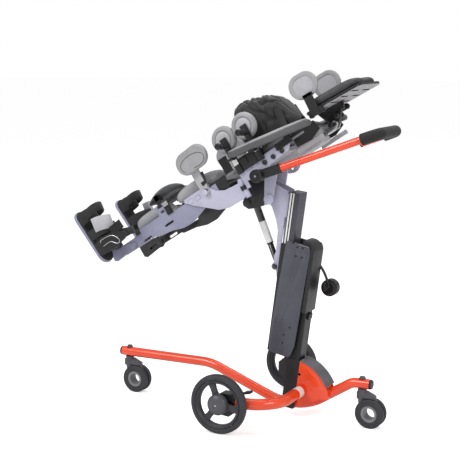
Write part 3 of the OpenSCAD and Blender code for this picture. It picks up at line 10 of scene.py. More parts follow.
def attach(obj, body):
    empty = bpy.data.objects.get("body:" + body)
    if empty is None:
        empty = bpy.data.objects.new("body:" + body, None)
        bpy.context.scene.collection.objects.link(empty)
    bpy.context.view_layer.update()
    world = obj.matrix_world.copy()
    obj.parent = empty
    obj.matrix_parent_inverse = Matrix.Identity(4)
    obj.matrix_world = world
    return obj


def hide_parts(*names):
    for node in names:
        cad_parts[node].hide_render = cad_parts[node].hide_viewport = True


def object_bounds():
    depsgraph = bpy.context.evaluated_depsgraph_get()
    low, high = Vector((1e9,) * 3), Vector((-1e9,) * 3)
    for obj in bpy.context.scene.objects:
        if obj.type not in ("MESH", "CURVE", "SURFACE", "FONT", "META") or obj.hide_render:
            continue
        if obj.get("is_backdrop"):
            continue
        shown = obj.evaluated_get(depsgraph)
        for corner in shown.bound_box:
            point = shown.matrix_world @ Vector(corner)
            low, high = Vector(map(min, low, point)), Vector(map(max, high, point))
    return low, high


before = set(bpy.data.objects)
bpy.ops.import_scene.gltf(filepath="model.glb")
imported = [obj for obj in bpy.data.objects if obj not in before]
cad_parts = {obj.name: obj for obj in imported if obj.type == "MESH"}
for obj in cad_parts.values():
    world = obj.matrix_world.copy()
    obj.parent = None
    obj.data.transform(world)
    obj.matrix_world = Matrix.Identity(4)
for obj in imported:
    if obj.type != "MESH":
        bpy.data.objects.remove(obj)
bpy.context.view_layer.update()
scene = bpy.context.scene
scene.view_settings.view_transform = "Standard"
MM = 0.001

# Camera at the photograph's viewing angle: from the head end's side, a little above the board's pivot
AIM = Vector((-0.01515, 0.0, 0.62815))
AZIMUTH, ELEVATION, DISTANCE = radians(27.4), radians(8.9), 4.03247
LENS, SENSOR, FAR_CLIP = 91.27, 36, 50
camera = bpy.data.objects.new("camera", bpy.data.cameras.new("camera"))
scene.collection.objects.link(camera)
camera.location = AIM + DISTANCE * Vector(
    (cos(ELEVATION) * sin(AZIMUTH), -cos(ELEVATION) * cos(AZIMUTH), sin(ELEVATION))
)
camera.rotation_euler = (AIM - camera.location).to_track_quat("-Z", "Y").to_euler()
camera.data.lens, camera.data.sensor_width, camera.data.clip_end = LENS, SENSOR, FAR_CLIP
scene.camera = camera


# Materials

def linear(code):
    """sRGB hex to linear colour."""
    parts = [int(code[i : i + 2], 16) / 255 for i in (0, 2, 4)]
    return [c / 12.92 if c <= 0.04045 else ((c + 0.055) / 1.055) ** 2.4 for c in parts] + [1.0]


def add(tree, kind, settings=None, links=None):
    """One node with its settings, socket values and incoming links."""
    made = tree.nodes.new("ShaderNode" + kind)
    for key, value in (settings or {}).items():
        if isinstance(key, int) or key in made.inputs:
            made.inputs[key].default_value = value
        else:
            setattr(made, key, value)
    for key, source in (links or {}).items():
        tree.links.new(source, made.inputs[key])
    return made


def surface(name, light, dark, rough, patch=60.0, metal=0.0, coat=0.0, grain=None, weave=None, streak=None,
            sheen=0.0, bare=0.12):
    """A finish: two close colours mottled over patches of that many millimetres, and a fine relief.

    grain is (size in mm, depth in mm) of a pebbled skin, weave is (thread spacing in mm, depth in mm), and
    streak is (a quarter of the spacing in mm, depth in mm, axis) of drawn metal. bare is the spread of the
    roughness between worn and untouched patches."""
    made = bpy.data.materials.new(name)
    made.use_nodes = True
    tree = made.node_tree
    shader = tree.nodes["Principled BSDF"]
    shader.inputs["Metallic"].default_value = metal
    shader.inputs["Coat Weight"].default_value = coat
    shader.inputs["Coat Roughness"].default_value = 0.08
    if sheen:
        shader.inputs["Sheen Weight"].default_value = sheen
        shader.inputs["Sheen Roughness"].default_value = 0.4
    place = add(tree, "TexCoord").outputs["Object"]
    cloud = add(tree, "TexNoise", {"Scale": 1000 / patch, "Detail": 4.0, "Roughness": 0.6}, {"Vector": place})
    share = add(tree, "MapRange", {"From Min": 0.35, "From Max": 0.65}, {"Value": cloud.outputs["Fac"]})
    tint = add(tree, "Mix", {"data_type": "RGBA"})
    colours = [s for s in tint.inputs if s.type == "RGBA"]
    colours[0].default_value, colours[1].default_value = linear(light), linear(dark)
    tree.links.new(share.outputs["Result"], tint.inputs["Factor"])
    colour = [s for s in tint.outputs if s.type == "RGBA"][0]
    smoothest, roughest = max(rough - bare * 0.5, 0.02), min(rough + bare * 0.5, 1)
    worn = add(tree, "MapRange", {"To Min": smoothest, "To Max": roughest}, {"Value": cloud.outputs["Fac"]})
    tree.links.new(worn.outputs["Result"], shader.inputs["Roughness"])
    height, depth = None, 0.0
    if grain:
        size, depth = grain
        cells = add(tree, "TexVoronoi", {"Scale": 1000 / size}, {"Vector": place})
        cells.feature = "SMOOTH_F1"
        height = cells.outputs["Distance"]
    if streak:
        size, depth, axis = streak
        bands = add(tree, "TexWave", {"Scale": 1000 / size / (4 * pi), "Distortion": 1.5, "Detail": 2.0},
                    {"Vector": place})
        bands.bands_direction = axis
        height = bands.outputs["Fac"]
    if weave:
        size, depth = weave
        split = add(tree, "SeparateXYZ", {}, {"Vector": place})
        lengthwise = add(tree, "Math", {"operation": "ADD"}, {0: split.outputs["X"], 1: split.outputs["Z"]})
        waves = []
        for source in (lengthwise.outputs[0], split.outputs["Y"]):
            turns = add(tree, "Math", {"operation": "MULTIPLY", 1: 2 * pi * 1000 / size}, {0: source})
            waves.append(add(tree, "Math", {"operation": "SINE"}, {0: turns.outputs[0]}))
        warp, weft = waves
        cross = add(tree, "Math", {"operation": "MULTIPLY"}, {0: warp.outputs[0], 1: weft.outputs[0]})
        height = add(tree, "MapRange", {"From Min": -1.0}, {"Value": cross.outputs[0]}).outputs["Result"]
        shadow = add(tree, "Mix", {"data_type": "RGBA", "blend_type": "MULTIPLY"})
        tones = [s for s in shadow.inputs if s.type == "RGBA"]
        tree.links.new(colour, tones[0])
        threads = add(tree, "MapRange", {"To Min": 0.55, "To Max": 1.0}, {"Value": height})
        tree.links.new(threads.outputs["Result"], tones[1])
        shadow.inputs["Factor"].default_value = 1.0
        colour = [s for s in shadow.outputs if s.type == "RGBA"][0]
    tree.links.new(colour, shader.inputs["Base Color"])
    if height is not None:
        relief = add(tree, "Bump", {"Strength": 0.6, "Distance": depth * MM}, {"Height": height})
        tree.links.new(relief.outputs["Normal"], shader.inputs["Normal"])
    return made


# Powder-coated steel tube: saturated orange-red, glossy under a clear coat, with a faint orange-peel skin
RED = surface("gloss_powder_coat_red", "EC4713", "DA380A", 0.28, 140, coat=0.6, grain=(2.4, 0.03), bare=0.1)
# Powder-coated aluminium plate: lilac gray, satin, in two depths
LILAC = surface("satin_powder_coat_lilac", "B6B5C8", "A9A8BD", 0.42, 90, grain=(1.2, 0.04), coat=0.12)
LILAC_DEEP = surface("satin_powder_coat_slate", "8E8EA4", "828299", 0.45, 90, grain=(1.2, 0.04))
# Painted shade for the far leg's lilac plates, which lie in shade: near black, satin, drawn lengthwise
FAR_PLATE_SHADE = surface("far_plate_painted_shade", "18181B", "121215", 0.36, 120, streak=(0.8, 0.01, "Z"), bare=0.14,
                coat=0.15)
# Anodised aluminium cover and profile: dark slate
SLATE = surface("slate_anodised_aluminium", "484853", "3D3D47", 0.38, 120, streak=(0.8, 0.01, "Z"), bare=0.14,
                coat=0.12)
# Enamelled steel tube of the actuator: glossy black
ENAMEL = surface("gloss_black_enamel", "161618", "101012", 0.2, 80, coat=0.7, bare=0.08)
# Injection-moulded ABS: black and three grays, with a fine leather-like grain
ABS = surface("black_moulded_abs", "17171A", "101012", 0.42, 50, grain=(0.9, 0.05))
ABS_GRAY = surface("gray_moulded_abs", "77777C", "6D6D72", 0.45, 50, grain=(0.9, 0.05))
ABS_PALE = surface("pale_gray_moulded_abs", "AEAEB2", "A2A2A6", 0.48, 50, grain=(0.9, 0.05))
ABS_SLATE = surface("slate_gray_moulded_abs", "4B4B51", "414147", 0.42, 50, grain=(0.9, 0.05))
# Glass-filled nylon wheel: dark gray, slightly mottled
NYLON = surface("dark_glass_filled_nylon", "34343A", "2A2A2F", 0.48, 24, grain=(0.7, 0.04))
# Thermoplastic rubber tread: matt, black gray and mid gray
RUBBER = surface("moulded_rubber_tread", "303034", "27272B", 0.62, 40, grain=(1.1, 0.06))
RUBBER_GRAY = surface("ribbed_gray_rubber", "66666B", "58585D", 0.68, 40, grain=(0.9, 0.07))
# Integral-skin polyurethane foam, pebbled like soft leather, and closed-cell foam: light gray to black
FOAM = surface("integral_skin_foam_gray", "9A9A9C", "8C8C8F", 0.6, 70, grain=(1.4, 0.12), sheen=0.08)
FOAM_CHARCOAL = surface("integral_skin_foam_charcoal", "37373A", "2C2C2F", 0.62, 70, grain=(1.4, 0.12),
                        sheen=0.08)
FOAM_DARK = surface("integral_skin_foam_dark", "535456", "49494B", 0.62, 70, grain=(1.4, 0.12), sheen=0.08)
FOAM_BLACK = surface("closed_cell_foam_black", "161617", "0F0F10", 0.75, 30, grain=(1.0, 0.12), sheen=0.1)
# Webbing, laminated cloth and knitted neoprene face: threads are drawn about 2 mm apart so that they show
WEBBING = surface("woven_nylon_webbing", "1A1A1C", "121213", 0.7, 20, weave=(2.4, 0.25), sheen=0.3)
CLOTH = surface("laminated_nylon_cloth", "202123", "151617", 0.74, 46, weave=(1.6, 0.16), sheen=0.35)
NEOPRENE = surface("neoprene_knit_face", "3A3B3E", "2D2E31", 0.8, 34, weave=(1.8, 0.12), sheen=0.35)
# Zinc-plated steel, bright and slightly cloudy
ZINC = surface("zinc_plated_steel", "C9CACD", "B4B6BA", 0.3, 16, metal=1.0, bare=0.2)
# Ground and chromed steel rod: mirror bright
CHROME = surface("chromed_steel_rod", "E2E3E6", "D5D7DB", 0.12, 30, metal=1.0, bare=0.06)
# Vinyl label stock: plain white, left bare
LABEL = surface("plain_white_vinyl", "E6E6E4", "DCDCDA", 0.4, 30, coat=0.2)


# Frames, in millimetres

def frame_at(parent, at, turn=0.0):
    """A frame placed in another and turned by degrees about its Y axis."""
    return parent @ Matrix.Translation(at) @ Matrix.Rotation(radians(turn), 4, "Y")


# AXLE stands on the floor under the big wheels' axle, COLUMN leans with the mast, and RAM with the actuator.
# BOARD has its origin on the tilt axis and its X axis along the board to the head.
AXLE_X, AXLE_Z = 92.23, 100
RAM_FOOT, RAM_TOP = Vector((77, 0, 521)), Vector((-12, 0, 736))
AXLE = frame_at(Matrix.Identity(4), (AXLE_X, 0, 0))
COLUMN = frame_at(AXLE, (129, 0, 60), 7.8)
BOARD = frame_at(AXLE, (65, 0, 751), -33)
HEAD = frame_at(BOARD, (322, 0, 96), 4)
HANDLE_U, HANDLE_W = 53.5, 71.4
HANDLE = frame_at(BOARD, (HANDLE_U, 0, HANDLE_W), 13)
RAM = frame_at(AXLE, RAM_FOOT, degrees(atan2(RAM_TOP.x - RAM_FOOT.x, RAM_TOP.z - RAM_FOOT.z)))
ARM = frame_at(BOARD, (154, -154.1, 155), 9.9)
# The far leg bar is drawn out, and its foot stands higher
FAR_REACH, FAR_RAISE = 42, 28
SIDES = {"near": 1, "far": -1}


def leg_frame(side):
    """The board's frame moved along with the leg bar."""
    return BOARD @ Matrix.Translation((0 if side == "near" else -FAR_REACH, 0, 0))


# Mesh tools

def fresh_verts(grown):
    """Vertices that an extrusion made."""
    return [v for v in grown["geom"] if isinstance(v, bmesh.types.BMVert)]


def fresh_face(grown):
    """The face that an extrusion moved on."""
    return [f for f in grown["geom"] if isinstance(f, bmesh.types.BMFace)][0]


def dress(mesh, finishes):
    """Gives a mesh its finishes and smooth faces."""
    for finish in finishes if isinstance(finishes, (list, tuple)) else [finishes]:
        mesh.materials.append(finish)
    mesh.polygons.foreach_set("use_smooth", [True] * len(mesh.polygons))


def link(name, mesh):
    """An object in the scene for a mesh."""
    made = bpy.data.objects.new(name, mesh)
    scene.collection.objects.link(made)
    return made


def break_edges(made, width, steps, sharp):
    """A small round on the edges that turn by more than sharp degrees."""
    edge = made.modifiers.new("edges", "BEVEL")
    edge.width, edge.segments, edge.limit_method = width * MM, steps, "ANGLE"
    edge.angle_limit, edge.harden_normals = radians(sharp), True


def subdivide(made, levels):
    """Smooths a piece by subdivision."""
    smooth = made.modifiers.new("smooth", "SUBSURF")
    smooth.levels = smooth.render_levels = levels


def placed(place, side):
    """A frame in metres, mirrored to the far side."""
    return Matrix.Diagonal((MM, MM * SIDES[side], MM, 1)) @ place


def put(name, bm, place, body, finishes, side="near", stands_for=(), sharp=35, bevel=0.0, steps=2, refine=0,
        weld=True, padded=None):
    """Places a mesh made in millimetres on the near (-Y) side of a frame, or mirrored to the far side."""
    if weld:
        bmesh.ops.remove_doubles(bm, verts=bm.verts[:], dist=0.01)
    bmesh.ops.recalc_face_normals(bm, faces=bm.faces[:])
    matrix = placed(place, side)
    bmesh.ops.transform(bm, matrix=matrix, verts=bm.verts[:])
    if matrix.determinant() < 0:
        bmesh.ops.reverse_faces(bm, faces=bm.faces[:])
    mesh = bpy.data.meshes.new(name)
    bm.to_mesh(mesh)
    bm.free()
    dress(mesh, finishes)
    if not bevel and not refine:
        mesh.set_sharp_from_angle(angle=radians(sharp))
    made = link(name, mesh)
    if bevel:
        break_edges(made, bevel, steps, sharp)
    if refine:
        subdivide(made, refine)
    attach(made, body)
    if stands_for:
        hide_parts(*([stands_for] if isinstance(stands_for, str) else stands_for))
    return made


def soften(node, body, finishes, width=1.0, steps=2, sharp=30, split=None):
    """A CAD node with its edges broken: its triangles are merged into faces, and the edges get a small round.

    split is a frame and an X in it: faces below that X take the second finish."""
    bm = bmesh.new()
    bm.from_mesh(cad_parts[node].data)
    bmesh.ops.remove_doubles(bm, verts=bm.verts[:], dist=0.00002)
    bmesh.ops.dissolve_limit(bm, angle_limit=radians(1.0), verts=bm.verts[:], edges=bm.edges[:])
    if split:
        place, at = split
        point, ahead = place @ Vector((at, 0, 0)) * MM, place.to_3x3() @ Vector((1, 0, 0))
        bmesh.ops.bisect_plane(bm, geom=bm.verts[:] + bm.edges[:] + bm.faces[:], dist=0.00001, plane_co=point,
                               plane_no=ahead)
    mesh = bpy.data.meshes.new(node + "_finished")
    bm.to_mesh(mesh)
    bm.free()
    dress(mesh, finishes)
    mesh.polygons.foreach_set("material_index", [0] * len(mesh.polygons))
    if split:
        for face in mesh.polygons:
            face.material_index = 1 if (face.center - point).dot(ahead) < 0 else 0
    made = link(node + "_finished", mesh)
    break_edges(made, width, steps, sharp)
    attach(made, body)
    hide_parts(node)
    return made


def paint(node, finish):
    """A carried-over CAD node with a finish of its own."""
    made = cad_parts[node]
    made.data.materials.clear()
    made.data.materials.append(finish)
    made.data.polygons.foreach_set("material_index", [0] * len(made.data.polygons))


def outline(bm, points, y0, y1):
    """Plate between two Y planes from points in X and Z."""
    ring = [bm.verts.new((x, y0, z)) for x, z in points]
    grown = bmesh.ops.extrude_face_region(bm, geom=[bm.faces.new(ring)])
    bmesh.ops.translate(bm, vec=(0, y1 - y0, 0), verts=fresh_verts(grown))
    return bm


def round_points(x0, z0, x1, z1, r, n=6):
    """Points of a rectangle with round corners."""
    points = []
    for cx, cz, start in ((x1 - r, z1 - r, 0), (x0 + r, z1 - r, 90), (x0 + r, z0 + r, 180),
                          (x1 - r, z0 + r, 270)):
        for i in range(n + 1):
            a = radians(start + 90 * i / n)
            points.append((cx + r * cos(a), cz + r * sin(a)))
    return points


def lathe(bm, points, steps=64, matrix=None, closed=False):
    """Turned piece about Z from points of radius and height."""
    verts = [bm.verts.new((r, 0, z)) for r, z in points]
    edges = [bm.edges.new(pair) for pair in zip(verts, verts[1:])]
    if closed:
        edges.append(bm.edges.new((verts[-1], verts[0])))
    spun = bmesh.ops.spin(bm, geom=verts + edges, cent=(0, 0, 0), axis=(0, 0, 1), angle=2 * pi, steps=steps,
                          use_merge=True, use_duplicate=False)
    seeds = set(verts)
    for e in spun["geom_last"]:
        if isinstance(e, bmesh.types.BMVert):
            seeds.add(e)
    linked, front = set(seeds), list(seeds)
    while front:
        v = front.pop()
        for e in v.link_edges:
            o = e.other_vert(v)
            if o not in linked:
                linked.add(o)
                front.append(o)
    if matrix is not None:
        bmesh.ops.transform(bm, matrix=matrix, verts=[v for v in linked if v.is_valid])
    bmesh.ops.remove_doubles(bm, verts=[v for v in linked if v.is_valid], dist=0.005)
    return bm


def across_y(x, y, z):
    """Turns a lathe piece so that its axis runs from y towards the near side (-Y)."""
    return Matrix.Translation((x, y, z)) @ Matrix.Rotation(radians(90), 4, "X")


def brick(bm, low, high):
    """Block between two corners."""
    mid = [(a + b) / 2 for a, b in zip(low, high)]
    size = [abs(b - a) for a, b in zip(low, high)]
    bmesh.ops.create_cube(bm, size=1, matrix=Matrix.Translation(mid) @ Matrix.Diagonal((*size, 1)))
    return bm


def sweep(bm, path, section, up=(0, 1, 0)):
    """Section, as points across and up, swept along a path of points by extruding its end face."""
    path = [Vector(p) for p in path]
    stations = []
    for i, p in enumerate(path):
        ahead = (path[min(i + 1, len(path) - 1)] - path[max(i - 1, 0)]).normalized()
        rise = Vector(up)
        wide = ahead.cross(rise).normalized()
        rise = wide.cross(ahead).normalized()
        m = Matrix((wide, rise, ahead)).transposed().to_4x4()
        m.translation = p
        stations.append(m)
    ring = [bm.verts.new(stations[0] @ Vector((a, b, 0))) for a, b in section]
    face = bm.faces.new(ring)
    for before, after in zip(stations, stations[1:]):
        grown = bmesh.ops.extrude_face_region(bm, geom=[face])
        face = fresh_face(grown)
        bmesh.ops.transform(bm, matrix=after @ before.inverted(), verts=fresh_verts(grown))
    return bm


def circle_section(r, n=12):
    """Round wire."""
    return [(r * cos(2 * pi * i / n), r * sin(2 * pi * i / n)) for i in range(n)]


def strap_section(width, thick):
    """Flat webbing with slightly rolled edges."""
    w, t = width / 2, thick / 2
    return [(-w, -t * 0.4), (-w + t, -t), (0, -t), (w - t, -t), (w, -t * 0.4), (w, t * 0.4), (w - t, t),
            (0, t), (-w + t, t), (-w, t * 0.4)]


def edge_section(thick, width):
    """Webbing that stands on its edge."""
    return [(b, a) for a, b in reversed(strap_section(width, thick))]


def arc(points, n=6):
    """A smooth path through points (Catmull-Rom)."""
    pts = [Vector(p) for p in points]
    pts = [2 * pts[0] - pts[1]] + pts + [2 * pts[-1] - pts[-2]]
    path = []
    for a, b, c, d in zip(pts, pts[1:], pts[2:], pts[3:]):
        for i in range(n):
            t = i / n
            path.append(0.5 * ((2 * b) + (c - a) * t + (2 * a - 5 * b + 4 * c - d) * t * t
                               + (3 * b - a - 3 * c + d) * t * t * t))
    path.append(pts[-2])
    return path


def screw_head(bm, x, y, z, r=4.0, h=2.2, sides=6):
    """Socket button-head screw on the near face at y."""
    at = across_y(x, y, z)
    lathe(bm, [(r * 0.42, h * 0.35), (r * 0.45, h), (r * 0.75, h * 0.92), (r, h * 0.35), (r, 0)], 20, at)
    lathe(bm, [(0, h * 0.35), (r * 0.42, h * 0.35)], sides, at)


def bar(name, low, high, place, body, finish, side="near", bevel=1.0, **more):
    """One block with broken edges."""
    bm = bmesh.new()
    brick(bm, low, high)
    return put(name, bm, place, body, finish, side, bevel=bevel, **more)


def cut_plate(name, points, y0, y1, place, body, finish, side="near", bevel=1.0, **more):
    """One plate cut to an outline."""
    return put(name, outline(bmesh.new(), points, y0, y1), place, body, finish, side, bevel=bevel, **more)


def turned(name, points, count, at, place, body, finish, side="near", closed=False, **more):
    """One turned piece: count is its steps round, and at is its place in the frame."""
    return put(name, lathe(bmesh.new(), points, count, at, closed), place, body, finish, side, **more)


def swept(name, path, section, up, place, body, finish, side="near", **more):
    """One strap or wire along a path."""
    return put(name, sweep(bmesh.new(), path, section, up=up), place, body, finish, side, **more)


def ribbed(name, low, high, count, place, body, finish, side="near"):
    """Block with ribs across its length, as on a strap's ratchet."""
    bm = bmesh.new()
    brick(bm, low, (high[0], high[1] + 1.5, high[2]))
    step = (high[0] - low[0]) / count
    for i in range(count):
        x = low[0] + step * (i + 0.2)
        brick(bm, (x, high[1], low[2] + 1), (x + step * 0.6, high[1] + 1.6, high[2] - 1))
    return put(name, bm, place, body, finish, side, bevel=0.5, weld=False)


# Cushions: a crowned closed form whose sides are drawn in, then blown up as cloth

RISE = [0, 0.1, 0.3, 0.55, 0.78, 0.93, 1]
REACH = [0.93, 0.985, 1, 0.99, 0.93, 0.78, 0.5]


def cushion_form(length, width, thick, power, pull, crown, trough=0.0, sides=64):
    """Closed form of a pad: power squares its outline, pull draws its sides in, crown and trough bend it."""
    bm = bmesh.new()
    bmesh.ops.create_circle(bm, cap_ends=True, segments=sides, radius=1)
    ring = sorted(bm.verts, key=lambda v: atan2(v.co.y, v.co.x))
    for v in ring:
        c, s = v.co.x, v.co.y
        draw = (1 - pull * (c * c - s * s) ** 2) * REACH[0]
        v.co = (abs(c) ** power * (1 if c > 0 else -1) * length / 2 * draw,
                abs(s) ** power * (1 if s > 0 else -1) * width / 2 * draw, 0)
    face = bm.faces[:][0]
    for k in range(1, len(RISE)):
        grown = bmesh.ops.extrude_face_region(bm, geom=[face])
        tips, face = fresh_verts(grown), fresh_face(grown)
        grow = REACH[k] / REACH[k - 1]
        bmesh.ops.scale(bm, vec=(grow, grow, 1), verts=tips)
        bmesh.ops.translate(bm, vec=(0, 0, thick * (RISE[k] - RISE[k - 1])), verts=tips)
    for grow in (0.8, 0.6, 0.4):
        grown = bmesh.ops.extrude_face_region(bm, geom=[face])
        face = fresh_face(grown)
        bmesh.ops.scale(bm, vec=(grow, grow, 1), verts=fresh_verts(grown))
    for v in bm.verts:
        share = v.co.z / thick
        out = (2 * v.co.x / length) ** 2 + (2 * v.co.y / width) ** 2
        v.co.z += share * (-crown * thick * out + trough * (2 * v.co.y / width) ** 2)
    bmesh.ops.triangulate(bm, faces=[face])
    return bm


def blown(made, voxel=5.0, pressure=4.0, cap=3.0, floor=None, steps=16):
    """Cloth pass on a pad: its skin is blown up by at most cap millimetres, and lies flat on what carries it.

    floor is (a point, a normal) in metres: nothing goes below it."""
    skin = made.modifiers.new("skin", "REMESH")
    skin.mode, skin.voxel_size = "VOXEL", voxel * MM
    bpy.context.view_layer.update()
    solid = bpy.data.meshes.new_from_object(made.evaluated_get(bpy.context.evaluated_depsgraph_get()))
    made.modifiers.remove(skin)
    trial = link("trial", solid)
    cloth = trial.modifiers.new("cloth", "CLOTH")
    cloth.settings.use_pressure = True
    cloth.settings.uniform_pressure_force = pressure
    cloth.settings.effector_weights.gravity = 0
    cloth.settings.mass = 0.3
    cloth.settings.tension_stiffness = cloth.settings.compression_stiffness = 15
    cloth.collision_settings.use_collision = False
    rest = [v.co.copy() for v in solid.vertices]
    for step in range(1, steps + 1):
        scene.frame_set(step)
    after = trial.evaluated_get(bpy.context.evaluated_depsgraph_get()).to_mesh()
    moved = [v.co.copy() for v in after.vertices]
    scene.frame_set(1)
    bpy.data.objects.remove(trial)
    for v, was, now in zip(solid.vertices, rest, moved):
        step = now - was
        if step.length > cap * MM:
            step.length = cap * MM
        v.co = was + step
        if floor is not None:
            under = (v.co - floor[0]).dot(floor[1])
            if under < 0:
                v.co -= under * floor[1]
    finishes = list(made.data.materials)
    solid.materials.clear()
    dress(solid, finishes)
    made.data = solid
    made.modifiers.clear()
    subdivide(made, 1)
    return made


def cushion(name, place, body, finish, size, shape, node, side="near", cap=3.0, voxel=5.0, fill=0.8,
            inset=2.0):
    """Pad of size (length, width, thickness) that rests on its frame's XY plane.

    shape is cushion_form's power, pull, crown and trough."""
    length, width, thick = size
    bm = cushion_form(length - 2 * inset, width - 2 * inset, thick - inset, *shape)
    made = put(name, bm, place, body, finish, side, node, refine=0, padded=fill)
    base = placed(place, side)
    up = (base.to_3x3() @ Vector((0, 0, 1))).normalized()
    return blown(made, voxel, cap=cap, floor=(base.translation, up))


# Base

paint("spine_tube", RED)
paint("cross_tube", RED)
soften("gusset", "base", [RED, ABS], 1.2, split=(COLUMN, 26))
soften("end_caps", "base", ABS, 1.5)
soften("base_bolts", "base", ABS_SLATE, 0.6, 1)
soften("hub_housings", "base", ABS, 3.0, 3)
for side in SIDES:
    soften(side + "_brake_pedal", side + "_brake", ABS, 1.5)

# The gusset's sides carry on down to the spine's rear slope
BEND_X, BEND_R, SPINE_LOW = 136, 200, 46
GUSSET_X, GUSSET_Z, GUSSET_HALF = 166, 112.6, 29.7
bend = [radians(a) for a in range(2, 33, 6)]
slope = [(BEND_X + BEND_R * sin(a), SPINE_LOW + BEND_R * (1 - cos(a))) for a in bend]
foot_line = [(GUSSET_X, slope[0][1])] + [p for p in slope if p[0] > GUSSET_X] + [(279, 82)]
cut_plate("gusset_sides", [(GUSSET_X, GUSSET_Z)] + foot_line + [(276, GUSSET_Z)], -GUSSET_HALF, GUSSET_HALF,
          AXLE, "base", RED, bevel=0.8)

# Plain label round the cross tube beside the gusset
CROSS_X = 178
inward = Matrix.Translation((AXLE_X + CROSS_X, -76, AXLE_Z)) @ Matrix.Rotation(radians(-90), 4, "X")
turned("tube_label", [(18.9, 0), (19.2, 0.2), (19.2, 33.8), (18.9, 34)], 48, None, inward, "base", LABEL)

# Step strip: ridged rubber over the gusset's round back, spun about the centre of that round
TREAD_X, TREAD_Z, TREAD_FROM, TREAD_TURN = 137, 62, radians(25), radians(49)
RIDGES, RIDGE_STEP = 9, 7.1
strip = bmesh.new()
profile = [(147.2, -33), (152.2, -33)]
for i in range(RIDGES):
    y = -31.5 + RIDGE_STEP * i
    profile += [(153, y), (153, y + 3.6), (151.2, y + 4.6), (151.2, y + 5.9)]
profile += [(152.2, 33), (147.2, 33)]
ring = [strip.verts.new((TREAD_X + r * cos(TREAD_FROM), y, TREAD_Z + r * sin(TREAD_FROM)))
        for r, y in profile]
face = strip.faces.new(ring)
bmesh.ops.spin(strip, geom=[face] + list(face.edges) + list(face.verts), cent=(TREAD_X, 0, TREAD_Z),
               axis=(0, -1, 0), angle=TREAD_TURN, steps=30, use_duplicate=False)
put("tread_strip", strip, AXLE, "base", RUBBER_GRAY, stands_for="tread_cover", sharp=25)

# Castors: the open hub is paler than the fork, a lighter gray ring whose tone also carries a painted
# highlight on its bore
CASTOR_Z, CASTOR_HUB_R = 50, 27.9
for end, hub_x in (("front", -491), ("rear", 420)):
    fork = soften(end + "_castor_fork", end + "_fork", [ABS_SLATE, ABS_GRAY], 2.0, 3)
    hub = Vector((hub_x + AXLE_X, 0, CASTOR_Z))
    # Faces within the hub's radius take the paler gray: the ring's own tone and a painted highlight
    for face in fork.data.polygons:
        off = face.center / MM - hub
        if Vector((off.x, off.z)).length < CASTOR_HUB_R:
            face.material_index = 1
    soften(end + "_castor_wheels", end + "_rollers", RUBBER, 1.5, 3)

# Big wheels: tyre, rim and spokes, and a domed hub cap
WHEEL = across_y(AXLE_X, -287.5, AXLE_Z)
SPOKE_ANGLES, SPOKE_FROM, SPOKE_LEN, SPOKE_HALF, SPOKE_WAIST = (110, 230, 350), 24, 49, 13.5, 3.2
for side in SIDES:
    body = side + "_big_wheel"
    turned(side + "_tyre_tread", [(80.2, -14), (84, -15.4), (91, -15.8), (96.5, -13), (99.2, -8.5), (100, -3),
                                  (100, 3), (99.2, 8.5), (96.5, 13), (91, 15.8), (84, 15.4), (80.2, 14)],
           96, None, WHEEL, body, RUBBER, side, closed=True, stands_for=side + "_tyre", refine=1)
    rim = bmesh.new()
    lathe(rim, [(80.1, -14.6), (80.1, 14.6), (76.5, 15.2), (74.5, 13), (72, 9.5), (69.2, 7), (69.2, -7),
                (72, -9.5), (74.5, -13), (76.5, -15.2)], 96, closed=True)
    lathe(rim, [(6.2, -14.8), (6.2, 14.8), (24, 14.8), (29, 12), (30, 8), (30, -8), (29, -12), (24, -14.8)],
          64, closed=True)
    for a in SPOKE_ANGLES:
        turn = Matrix.Rotation(radians(a), 4, "Z")
        arm = bmesh.ops.create_grid(rim, x_segments=8, y_segments=4, size=1, matrix=turn)["verts"]
        back = turn.inverted()
        for v in arm:
            p = back @ v.co
            share = (p.x + 1) / 2
            wide = SPOKE_HALF - SPOKE_WAIST * sin(pi * share)
            v.co = turn @ Vector((SPOKE_FROM + SPOKE_LEN * share, p.y * wide, 6.2 - 1.8 * p.y * p.y))
        faces = list({f for v in arm for f in v.link_faces})
        for v in fresh_verts(bmesh.ops.extrude_face_region(rim, geom=faces)):
            v.co.z = -v.co.z
    put(side + "_wheel_rim", rim, WHEEL, body, NYLON, side, side + "_wheel", bevel=0.8, sharp=40)
    turned(side + "_hub_cap", [(4, 25), (4, 28.6), (5.4, 28.8), (14, 27.4), (22, 24.8), (28, 21.6),
                               (33, 17.4), (34.8, 14), (35, 1), (31, 0.5)], 64, None, WHEEL, body, ABS_SLATE,
           side, bevel=0.5, sharp=50)
    turned(side + "_hub_screw", [(0, 26.5), (3.9, 26.2), (3.9, 18)], 24, None, WHEEL, body, ZINC, side)

# Column
soften("mast", "base", ABS, 1.0)
soften("side_covers", "base", SLATE, 1.2, 2)
soften("battery_shell", "base", ABS, 4.0, 4)
soften("battery_latch", "latch", ABS, 1.5)
soften("crank", "crank", ABS, 3.0, 3, 40)
soften("lift_column", "lift", SLATE, 1.5)
soften("sail_plates", "lift", LILAC, 0.8)
STRIPE_EDGES, STRIPE_Z = (-92.5, -90, -84.5, -80, -75.5, -73.5), (300, 709)
for side in SIDES:
    for i, (front, back) in enumerate(zip(STRIPE_EDGES, STRIPE_EDGES[1:])):
        bar("%s_column_stripe_%d" % (side, i), (front, -31.15, STRIPE_Z[0]), (back, -30.8, STRIPE_Z[1]),
            COLUMN, "lift", LABEL if i % 2 else ABS, side, 0)
COVER_FACE = -41.4
screws = bmesh.new()
for x, z in ((151, 609), (167, 596), (186, 594), (161, 565), (182, 562), (141, 319), (119, 292), (114, 263)):
    here = COLUMN.inverted() @ AXLE @ Vector((x, 0, z))
    screw_head(screws, here.x, COVER_FACE, here.z, 3.4, 1.8)
put("cover_screws", screws, COLUMN, "base", ABS)

